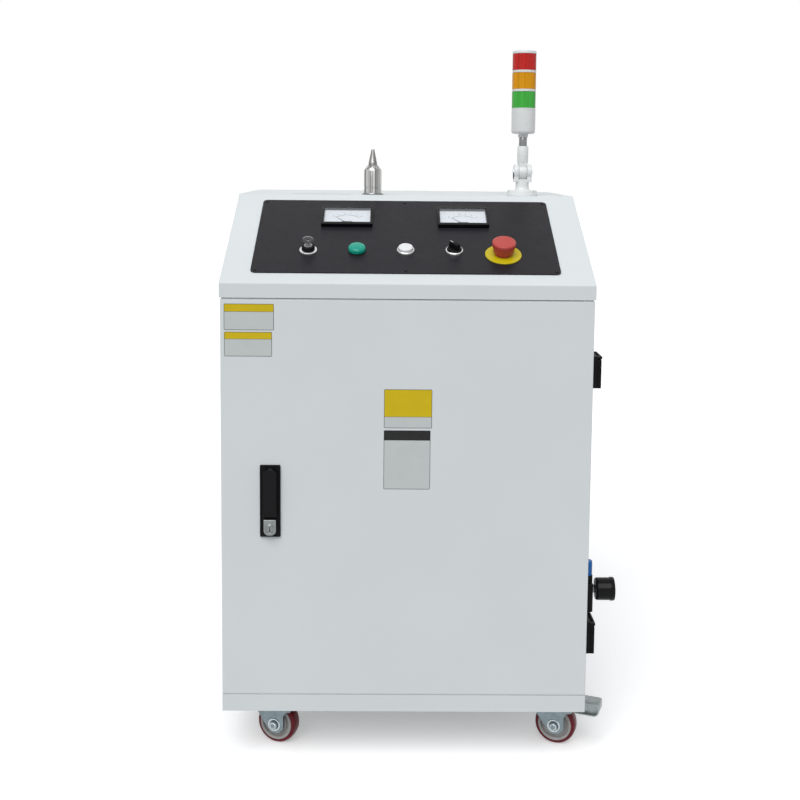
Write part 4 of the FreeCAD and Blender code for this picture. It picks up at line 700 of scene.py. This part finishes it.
knob = turned("mode_knob", [
    (9.2, -3), (9.2, 1.35), (11.6, 1.4), (12, 1.8), (12, 5.6), (11.5, 6.5), (10.6, 7)])
bar = soften(round_corners(block("mode_bar", (-9.8, -3.9, 6.2), (9.8, 3.9, 16.9)), 2.2, 5), 0.7)
stand(join("mode_knob", [knob, turned_about(bar, -45)]),
      "moulded_black", on_desk(MODE_X, ROW), "mode_selector", "mode_selector_knob")
pointer = turned_about(block("mode_pointer", (-9.2, -0.5, 16.75), (-2.5, 0.5, 17.0)), -45)
stand(pointer, "print_white", on_desk(MODE_X, ROW), "mode_selector")
print("lamp, button and selector set")

# %% [markdown]
# The key stands in its rotor. Its bow is a flat hoop with rounded shoulders, and the blade is
# what goes down into the lock. Bow and rotor turn together, so they are one piece.

# %% Key and rotor
BOW_MIDDLE, BOW_SQUASH = 20.2, 0.68
rotor = hoop("key_rotor", [(7, -2), (7, 10.1), (6.7, 10.5), (0.1, 10.5), (0.1, -2)])
bow = turned_about(hoop("key_bow", [(9.4, -1.1), (9.5, -0.9), (9.5, 0.9), (9.4, 1.1), (2.6, 1.1), (2.4, 0.9),
                                    (2.4, -0.9), (2.6, -1.1)], 48), 90, "X", (0, 0, BOW_MIDDLE))
placed(bow, Matrix.Translation((0, 0, BOW_MIDDLE * (1 - BOW_SQUASH) * MM))
       @ Matrix.Diagonal((1, 1, BOW_SQUASH, 1)))
blade = soften(block("key_blade", (-3.9, -1.1, 10), (3.9, 1.1, 15)), 0.3)
key = join("power_key_whole", [rotor, bow, blade])
stand(key, "key_steel", on_desk(KEY_X, ROW), "power_key", "power_key")
print("key bow", 2 * 9.5, "mm wide")

# %% [markdown]
# The stop button has to be found without looking: a big red mushroom on a yellow disc. Its head
# is a cap with a skirt, which slides down over the neck when it is struck.

# %% Emergency stop
disc = hoop("stop_disc", [(11.3, 0), (29.6, 0), (30, 0.4), (30, 1.5), (29.5, 2), (11.3, 2)], FINE)
stand(disc, "stop_yellow", on_desk(STOP_X, STOP_ROW), "cabinet", "stop_plate")
collar = hoop("stop_neck", [(7.5, -9), (11, -9), (11, 2), (13, 2), (13, 5.3), (12.3, 6), (7.5, 6)], FINE)
stand(collar, "stop_red", on_desk(STOP_X, STOP_ROW), "cabinet", "stop_collar")
stem = turned("stop_shaft", [(6.8, -3), (7, -2.8), (7, 12)], 64)
stand(stem, "stop_red", on_desk(STOP_X, STOP_ROW), "stop_stem", "stop_stem")
head = turned("stop_mushroom", [
    (13.8, 12), (13.8, 7.6), (14.1, 7.3), (16.6, 7.3), (17.0, 7.7), (17.4, 11.9), (18.4, 15.6), (19.3, 18.4),
    (19.5, 20.4), (19.5, 23.6), (19.2, 24.7), (18.6, 25.5), (17.6, 25.9), (16, 26)], FINE)
stand(head, "stop_red", on_desk(STOP_X, STOP_ROW), "stop_head", "stop_head")
print("stop button stands", 26 + PLATE, "mm proud")

# %% [markdown]
# ## The two meters
#
# Each meter is a black frame round a recessed white dial. The frame starts as a block, and the
# window's opening is cut out of it down to the dial. The scale on the dial is printed:
# an arc, long and short ticks, plain numbers and a small cap that hides the needle's pivot.

# %% Meter frames and dials
METERS = {"voltmeter": -103, "ammeter": 97}
METER_LINE = 205

frames = []
for name, across in METERS.items():
    case = round_corners(block(name + "_frame", (-44, -31, 0), (44, 31, 7)), 1.6, 4)
    carve(case, block("window", (-40, -24, 1.8), (40, 24, 9)))
    soften(case, 0.5, 3, 50)
    barrel = turned(name + "_barrel", [(22.5, -34), (24, -32.8), (24, 0.2)], 64)
    frames.append(placed(join(name + "_frame", [case, barrel]), on_desk(across, METER_LINE)))
stand(join("meter_frames", frames),
      "glossy_black", Matrix.Identity(4), "cabinet", "meter_cases")
for name, across in METERS.items():
    card = round_corners(block(name + "_card", (-39.6, -23.6, 1.6), (39.6, 23.6, 2.0)), 1.0, 3)
    stand(card, "dial_card", on_desk(across, METER_LINE), "cabinet")
print("meters framed, dial cards laid")

# %% The printed scales
PIVOT = -21.2
SCALE_R = 27.8
INK_LOW, INK_TOP = 2.02, 2.06


def printed(number, size, thick):
    """A number as flat type, centred on zero."""
    deselect()
    bpy.ops.object.text_add()
    digits = bpy.context.object
    digits.data.body = str(number)
    digits.data.size = size * MM
    digits.data.align_x = "CENTER"
    digits.data.align_y = "CENTER"
    digits.data.extrude = thick * MM
    bpy.ops.object.convert(target="MESH")
    return bpy.context.object


def dial_print(name, numbers):
    """Arc, ticks and numbers of one dial, flat on the card."""
    inner, outer = SCALE_R - 0.15, SCALE_R + 0.15
    band = hoop("scale_arc", [(inner, INK_LOW), (outer, INK_LOW), (outer, INK_TOP), (inner, INK_TOP)], 144)
    select_parts(band, "FACE", lambda face: face.calc_center_median().y
                 < abs(face.calc_center_median().x) * 0.99)
    bpy.ops.mesh.delete(type="FACE")
    bpy.ops.mesh.select_all(action="SELECT")
    bpy.ops.mesh.fill_holes(sides=4)
    bpy.ops.object.mode_set(mode="OBJECT")
    parts = [moved(band, (0, PIVOT, 0))]
    for step in range(51):
        long_tick = 4.2 if step % 10 == 0 else 2.8 if step % 5 == 0 else 1.7
        tick = block("tick", (-0.11, SCALE_R, INK_LOW), (0.11, SCALE_R + long_tick, INK_TOP))
        parts.append(turned_about(tick, 45 - step * 90 / 50, "Z", (0, PIVOT, 0)))
    reach = SCALE_R + 6.6
    for step, number in enumerate(numbers):
        angle = math.radians(45 - step * 90 / (len(numbers) - 1))
        shift = (-math.sin(angle) * reach, PIVOT + math.cos(angle) * reach, 2.04)
        parts.append(turned_about(printed(number, 4.2, 0.02), math.degrees(angle) * 0.6, "Z", shift))
    return join(name, parts)


for (name, across), top in zip(METERS.items(), (15, 5)):
    numbers = [round(top * step / 5) for step in range(6)]
    scale = dial_print(name + "_scale", numbers)
    stand(scale, "print_black_and_painted_shade", on_desk(across, METER_LINE), "cabinet")
    hub = soften(block(name + "_pivot_cap", (-9, -23.6, 2), (9, -18.2, 4.9)), 0.8)
    stand(hub, "glossy_black", on_desk(across, METER_LINE), "cabinet")
    print(name, "reads", numbers)

# %% [markdown]
# ## Screws
#
# The control plate and the rear panel are held by screws. One button-head screw is turned with a black
# six-sided plug in its middle, painted shade for its socket, and copied, each copy with a mesh of its own.

# %% Screw heads
def screw_head(name, radius, rise):
    """A button head, with a black six-sided plug on top: painted shade for its socket."""
    crown = [(radius * 0.82, 0.8 * rise), (radius * 0.52, rise)]
    head = turned(name, [(radius, 0), (radius, 0.35 * rise), *crown], 30)
    # The socket is not cut: a black hexagon stands on the head, painted shade for its hollow.
    socket = turned(name + "_socket", [(radius * 0.42, 0.45 * rise), (radius * 0.42, 1.02 * rise)], 6)
    return head, socket


plate_heads, rear_heads, socket_shades = [], [], []
for column in (-1, 0, 1):
    for row in (0, 1):
        seat = on_desk(-3 + column * 243.5, 36 + row * 225)
        for kind, part in zip((plate_heads, socket_shades), screw_head("plate_screw", 2.6, 1.2)):
            kind.append(placed(part, seat))
rear_low, rear_high = BASE_TOP + 9, LIP - LIP_TALL - 9
for side in (-1, 1):
    for step in range(5):
        seat = upright(side * 289.5, BACK, rear_low + step * (rear_high - rear_low) / 4)
        seat = seat @ Matrix.Rotation(math.pi, 4, "Z") @ Matrix.Rotation(math.pi / 2, 4, "X")
        for kind, part in zip((rear_heads, socket_shades), screw_head("rear_screw", 5.2, 2.4)):
            kind.append(placed(part, seat))
for name, parts, finish_name, node in (("plate_screws", plate_heads, "glossy_black", "panel_screws"),
                                       ("rear_screws", rear_heads, "zinc_plate", None),
                                       ("socket_shade_plugs", socket_shades, "print_black_and_painted_shade", None)):
    stand(join(name, parts), finish_name, Matrix.Identity(4), "cabinet", node)
print("screws:", len(socket_shades))

# %% [markdown]
# ## The door's lock
#
# The lock is a swing handle. A black plate carries a lever, which is lifted at its foot and then
# turned. A chromed cylinder below it holds the lever shut. All three are modelled lying flat,
# with Z as the way out of the door, and are then stood against it.

# %% Lock plate, lever and cylinder
def on_front(across, up):
    """A frame on the door's face: X to the right, Y up, Z out of the door."""
    return upright(across, 0, up) @ Matrix.Rotation(math.pi / 2, 4, "X")


LOCK = on_front(-219, 384)
plate = round_corners(block("lock_backing", (-16.5, 0, 0), (16.5, 118, 4)), 1.6, 5)
soften(sink(plate, 1.6, 0.6, 0.4), 0.3, 3, 40)
stand(plate, "moulded_black", LOCK, "door", "lock_plate")

# The lever's head is rounded at its back too, which clears the plate when the lever is lifted.
# The back is hollow, with a slot and a pin hole for the knuckle of the spindle.
lever = block("lever_grip", (-11, 33, 4.5), (11, 112, 11.9))
round_edges(lever, lambda edge: upright_edges(edge) and edge.verts[0].co.y > 111 * MM, 6.4)
round_edges(lever, lambda edge: all(v.co.z > 11 * MM and v.co.y < 34 * MM for v in edge.verts), 4.5)
round_edges(lever, lambda edge: all(v.co.z < 5 * MM for v in edge.verts)
            and max(v.co.y for v in edge.verts) > 34 * MM, 3.6)
soften(lever, 1.8, 5, 40)
carve(lever, block("hollow", (-8.5, 35.5, 3), (8.5, 97.3, 9.4)))
carve(lever, block("knuckle_slot", (-4, 101.3, 3), (4, 114, 10.4)))
pin_hole = turned("pin_hole", [(1.7, -9.05), (1.7, 9.05)], 32)
carve(lever, turned_about(pin_hole, 90, "Y", (0, 108.3, 8.2)))
stand(lever, "glossy_black", LOCK, "lock_lever", "lock_lever")

housing = block("cylinder_housing", (-10, 4, 3.4), (10, 30, 11.4))
round_edges(housing, lambda edge: upright_edges(edge) and edge.verts[0].co.y < 5 * MM, 8, 10)
soften(housing, 0.9, 4)
stand(housing, "lock_chrome", LOCK, "door")
ring = hoop("cylinder_ring", [(7.6, 11.3), (7.6, 11.8), (7.1, 12.1), (6.6, 11.9), (6.6, 11.3)], 48)
stand(moved(ring, (0, 15, 0)), "lock_chrome", LOCK, "door")
plug = turned("cylinder_plug", [(6.3, 0), (6.3, 12.0), (5.9, 12.4)], 48)
stand(moved(plug, (0, 15, 0)), "lock_chrome", LOCK, "lock_cylinder", "lock_cylinder")
# The keyway is not cut: black blocks on the plug's face are painted shade for its slot.
keyhole_shade = join("keyhole_shade", [block("keyhole_shade", (-0.6, 11.2, 12.0), (0.6, 18.8, 12.43)),
                         block("keyhole_foot_shade", (-1.5, 11.2, 12.0), (1.5, 13.0, 12.43))])
stand(keyhole_shade, "print_black_and_painted_shade", LOCK, "lock_cylinder")
print("lock built on the door")

# %% [markdown]
# The folds along the door's upper and lower edge are wider than the gaps beside them. Each is a
# round bead of the same sheet, so the gap above it stays a thin line with a bright edge.

# %% Folded edges of the door
beads = []
for level, side, reach in ((769.5, 1, 2.2), (117.5, -1, 0.9)):
    low, high = sorted((level - side * 0.5, level + side * reach))
    beads.append(soften(block("door_bead", (-297.3, 0.6, low), (297.3, 9, high)), 0.44 * reach, 4))
stand(join("door_beads", beads), "powder_coat", upright(0, 0, 0), "door")
print("folded edges run along the door")

# %% [markdown]
# ## Bare plates on the door
#
# Four thin plates are stuck on the door. They stay bare here: a pale field, a coloured band and
# a fine dark edge. Each is only a quarter of a millimetre thick, so its edge just catches light.

# %% Stuck-on plates
def bare_plate(name, left, right, low, high, rise, band_finish="label_yellow"):
    """A plate whose heights are given below the desk's lip, with its band above rise."""
    foot, top, band_foot = LIP - low, LIP - high, LIP - rise
    edge = round_corners(block(name + "_edge", (left, foot, 0), (right, top, 0.2)), 1.6, 5)
    sheet = block(name + "_field", (left + 0.7, foot + 0.7, 0.1), (right - 0.7, band_foot, 0.26))
    band = block(name + "_band", (left + 0.7, band_foot + 0.5, 0.1), (right - 0.7, top - 0.7, 0.26))
    stand(edge, "print_black_and_painted_shade", on_front(0, 0), "door")
    for part, finish_name in ((sheet, "label_white"), (band, band_finish)):
        stand(round_corners(part, 0.6, 3), finish_name, on_front(0, 0), "door")


bare_plate("upper_left_plate", -292.3, -212.9, 75.8, 33.7, 46.5)
bare_plate("lower_left_plate", -292.0, -216.0, 118.1, 78.8, 90.5)
bare_plate("middle_plate", -36.4, 40.6, 233.0, 170.0, 215.0)
bare_plate("tall_plate", -36.5, 38.5, 333.5, 236.8, 253.2, "print_black_and_painted_shade")
print("four bare plates on the door")

# %% [markdown]
# ## The right-hand side
#
# Two sockets with hinged lids, and between them an air regulator with a gauge. They are modelled
# facing up and then turned to face right. The lids hang on a round bar at their top.

# %% Sockets and lids
def on_side(back, up):
    """A frame on the right-hand side: X to the rear, Y up, Z out of the side."""
    return upright(SIDE, back, up) @ Matrix(((0, 0, 1, 0), (1, 0, 0, 0), (0, 1, 0, 0), (0, 0, 0, 1)))


housings = []
for name, level in (("upper", 645), ("lower", 188)):
    seat = on_side(60, level)
    shell = round_corners(block(name + "_shell", (0, -27, 0), (55, 27, 18)), 4, 8)
    soften(sink(shell, 6, 12.6, 1.0), 0.8, 3, 40)
    ears = [soften(block(name + "_ear", (low, 23, 15), (low + 8, 27, 25.1)), 0.6) for low in (0, 47)]
    flange = soften(round_corners(block(name + "_flange", (0, -27, 0), (55, 27, 2.5)), 4, 8), 0.6)
    contacts = []
    for step in range(3):
        pin = turned(name + "_contact", [(2.4, 5), (2.4, 10.5), (1.8, 11)], 24)
        angle = math.radians(90 + step * 120)
        contacts.append(moved(pin, (27.5 + 9 * math.cos(angle), 9 * math.sin(angle), 0)))
    whole = join(name + "_socket", [shell, *ears, flange])
    pins = join(name + "_contacts", contacts)
    for part, finish_name in ((whole, "moulded_black"), (pins, "satin_ring")):
        stand(part, finish_name, seat, "cabinet")
    housings.append(whole)
    lid = round_corners(block(name + "_lid", (0, -27, 18.3), (55, 22.4, 24)), 4, 8)
    soften(sink(lid, 5, 0.9, 1.2), 0.6, 3, 30)
    bar = turned_about(turned(name + "_hinge", [(2.1, 8.6), (2.1, 46.4)], 32), 90, "Y", (0, 24.8, 24))
    web = block(name + "_web", (8.6, 20, 21.8), (46.4, 24.6, 23.8))
    lid = join(name + "_flap", [lid, bar, soften(web, 0.3)])
    stand(lid, "moulded_black", seat, name + "_socket_lid", name + "_socket_lid")
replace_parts(join("socket_pair", housings), "socket_housings")
print("sockets and lids:", len(housings))

# %% Regulator, knob and gauge
REG = on_side(90, 265)
BONNET = 12
body = block("regulator_block", (-18, -35, 1.5), (18, 13, 22.5))
round_edges(body, lambda edge: abs((edge.verts[0].co - edge.verts[1].co).normalized().y) > 0.99, 3, 1)
soften(body, 0.6, 3, 25)
bonnet = turned("regulator_bonnet", [(11.5, 12.6), (11.5, 24.2), (10.9, 25), (6.5, 25), (6.5, 31)], 64)
turned_about(bonnet, -90, "X", (0, 0, BONNET))
stub = turned("gauge_stub", [(5.7, 22), (5.7, 28.6)], 6)
whole = join("regulator_whole", [body, bonnet, stub])
stand(whole, "moulded_black", REG, "cabinet", "regulator_body")
bracket = soften(block("regulator_bracket", (-24, -29, 0), (24, 7, 1.5)), 0.4)
screws = []
for side in (-1, 1):
    screw = turned("bracket_screw", [(2.6, 1.5), (2.6, 2.3), (1.8, 3.0)], 24)
    screws.append(moved(screw, (side * 21, -11, 0)))
collar = turned("silver_collar", [(7.4, 22.4), (7.4, 27.4), (7.0, 28.4)], 6)
bright = join("regulator_bright", [bracket, *screws, collar])
stand(bright, "lock_chrome", REG, "cabinet")
knob = turned("regulator_cap", [
    (7, 25.3), (10.1, 25.3), (10.5, 25.8), (10.5, 48.6), (9.9, 49.8), (8.6, 50.3)], FINE)
flute(knob, 27, 47.5, 0.45)
stand(turned_about(knob, -90, "X", (0, 0, BONNET)),
      "knob_blue", REG, "regulator_knob", "regulator_knob")
print("regulator and its knob set")

# %% [markdown]
# The gauge looks away from the cabinet. Its case is a turned cup, and its dial gets the same kind
# of print as the meters, on an arc of 270 degrees.

# %% Gauge
case = turned("gauge_cup", [
    (16.4, 28.5), (17.4, 28.7), (18.8, 30.4), (19.0, 32), (19.0, 52.6), (19.2, 53.4), (20, 53.6), (20, 58.8),
    (19.4, 60), (18.3, 60), (18, 59.6), (18, 56)], FINE)
stand(case, "glossy_black", REG, "cabinet", "gauge_case")
card = turned("gauge_card", [(17.9, 55.6), (17.9, 56.05)], 72)
stand(card, "dial_card", REG, "cabinet")
marks = [turned("gauge_hub", [(2.2, 57.4), (2.2, 58.2), (1.4, 58.5)], 32)]
for step in range(41):
    long_tick = 3.0 if step % 8 == 0 else 1.6
    tick = block("gauge_tick", (-0.12, 15.6 - long_tick, 56.05), (0.12, 15.6, 56.12))
    marks.append(turned_about(tick, 135 - step * 270 / 40))
for step in range(6):
    angle = math.radians(135 - step * 270 / 5)
    shift = (-math.sin(angle) * 10.4, math.cos(angle) * 10.4, 56.09)
    marks.append(moved(printed(2 * step, 3.4, 0.03), shift))
stand(join("gauge_print", marks), "print_black_and_painted_shade", REG, "cabinet")
print("gauge printed with", len(marks), "marks")

# %% [markdown]
# ## The castors
# A castor is a zinc-plated fork that swivels under its plate, and a wheel with a crimson tread
# on a pale core. The pressed forks are right as solids. They only get the raised ring that is
# pressed round the axle, and a six-sided nut at each end of it. The ring is the fork's own sheet,
# but wears a brighter zinc than the fork: a painted highlight on its bulge.

# %% Axle nuts
TRAIL, AXLE, SWIVEL = 27.0, 35.0, -21
CASTORS = dict(zip(CORNERS, ((-238, 85), (238, 85), (-238, 513.5), (238, 513.5))))


def castor_seat(name):
    return upright(*CASTORS[name], 0) @ Matrix.Rotation(math.radians(SWIVEL), 4, "Z")


def axle_seat(name):
    axle = castor_seat(name) @ Matrix.Translation((TRAIL * MM, 0, AXLE * MM))
    return axle @ Matrix.Rotation(math.pi / 2, 4, "X")


for name in CASTORS:
    parts = []
    for side in (-1, 1):
        # The pressed ring is the fork's own sheet in a brighter zinc: a painted highlight on its bulge.
        ring = hoop("pressed_ring", [
            (7.2, side * 18.9), (11.6, side * 18.9), (10.9, side * 20), (9.6, side * 20.4), (8.3, side * 20),
            (7.2, side * 19.6)], 48)
        nut = turned("axle_nut", [(6.4, side * 22.9), (6.4, side * 24.3), (5.6, side * 24.8)], 6)
        parts += [ring, soften(nut, 0.25, 2)]
    stand(join(name + "_axle_fixing", parts),
          "bright_zinc_and_painted_highlight", axle_seat(name), name + "_fork")
print("axle nuts fitted to", len(CASTORS), "forks")

# %% [markdown]
# The core of a wheel is moulded with a round channel between its rim and its hub. One long
# section gives both faces, and the tread is a ring of its own that grips the rim.

# %% Wheels and plates
for name in CASTORS:
    tread = hoop(name + "_tread", [
        (28.5, -11.8), (31.2, -12), (32.8, -11.2), (34.1, -9), (35, -5), (35, 5), (34.1, 9), (32.8, 11.2),
        (31.2, 12), (28.5, 11.8)], FINE)
    stand(tread, "tread_crimson", axle_seat(name), name + "_wheel", name + "_wheel")
    face = [(4.1, 13), (9, 13), (9.6, 12.4), (9.8, 8.6), (15.2, 8.6), (15.9, 11.4), (19.2, 11.4), (20, 7.6),
            (23.2, 7.6), (24, 12.6), (24.6, 13), (27.9, 13), (28.5, 12.4)]
    core = hoop(name + "_core", [(radius, -height) for radius, height in face] + face[::-1], FINE)
    stand(core, "hub_grey", axle_seat(name), name + "_wheel")

tops = []
for name in CASTORS:
    top = round_corners(block("castor_top", (-32, -32, 85), (32, 32, 88)), 6, 6)
    race = turned("castor_race", [(24.8, 85.2), (24.4, 84), (22.2, 80.4), (20, 80)], 64)
    kingpin = turned("kingpin", [(5, 80.4), (5, 71.2), (8, 71.2), (7, 70.05)], 32)
    heads = []
    for x in (-24.5, 24.5):
        for y in (-24.5, 24.5):
            bolt = turned("plate_bolt", [(5.6, 85.2), (5.6, 82.2), (4.8, 81.4)], 6)
            heads.append(moved(bolt, (x, y, 0)))
    whole = join("castor_top", [soften(top, 0.6), race, kingpin, *heads])
    tops.append(placed(whole, castor_seat(name)))
stand(join("castor_tops", tops),
      "zinc_plate", Matrix.Identity(4), "cabinet", "castor_plates")
print("wheels and plates fitted")

# %% [markdown]
# The front right castor has a foot lever. It is a pressed channel with a rounded toe. The open
# side is cut out of a rounded block, which leaves the bright rim of the sheet standing round it.

# %% Brake pedal
def channel(name, low, high, heel, toe):
    """A block whose far upper edge and far lower edge are rounded."""
    piece = block(name, low, high)
    for level, radius in ((low[2], toe), (high[2], heel)):
        round_edges(piece, lambda edge: all(abs(v.co.z - level * MM) < 0.1 * MM
                                            and v.co.x > (high[0] - 0.1) * MM for v in edge.verts), radius)
    return piece


shell = soften(channel("pedal_shell", (60.5, -15, 61.5), (102.5, 15, 83.2), 3, 9), 0.4, 2, 60)
carve(shell, channel("pedal_hollow", (58, -17, 63.4), (100.6, -9, 81.4), 2, 7.2))
carve(shell, channel("pedal_inside", (58, -7, 57), (100.4, 17, 81.2), 2, 2))
arms = [soften(block("pedal_arm", (51.2, side * 12 - 1.4, 67), (62, side * 12 + 1.4, 71)), 0.4)
        for side in (-1, 1)]
pin = turned_about(turned("pedal_pin", [(1.5, -18.9), (1.5, 18.9)], 24), 90, "X", (53.5, 0, 69.2))
pedal = join("foot_lever", [shell, *arms, pin])
stand(pedal, "pedal_zinc", castor_seat("front_right"), "brake_pedal", "brake_pedal")
print("brake pedal pressed")
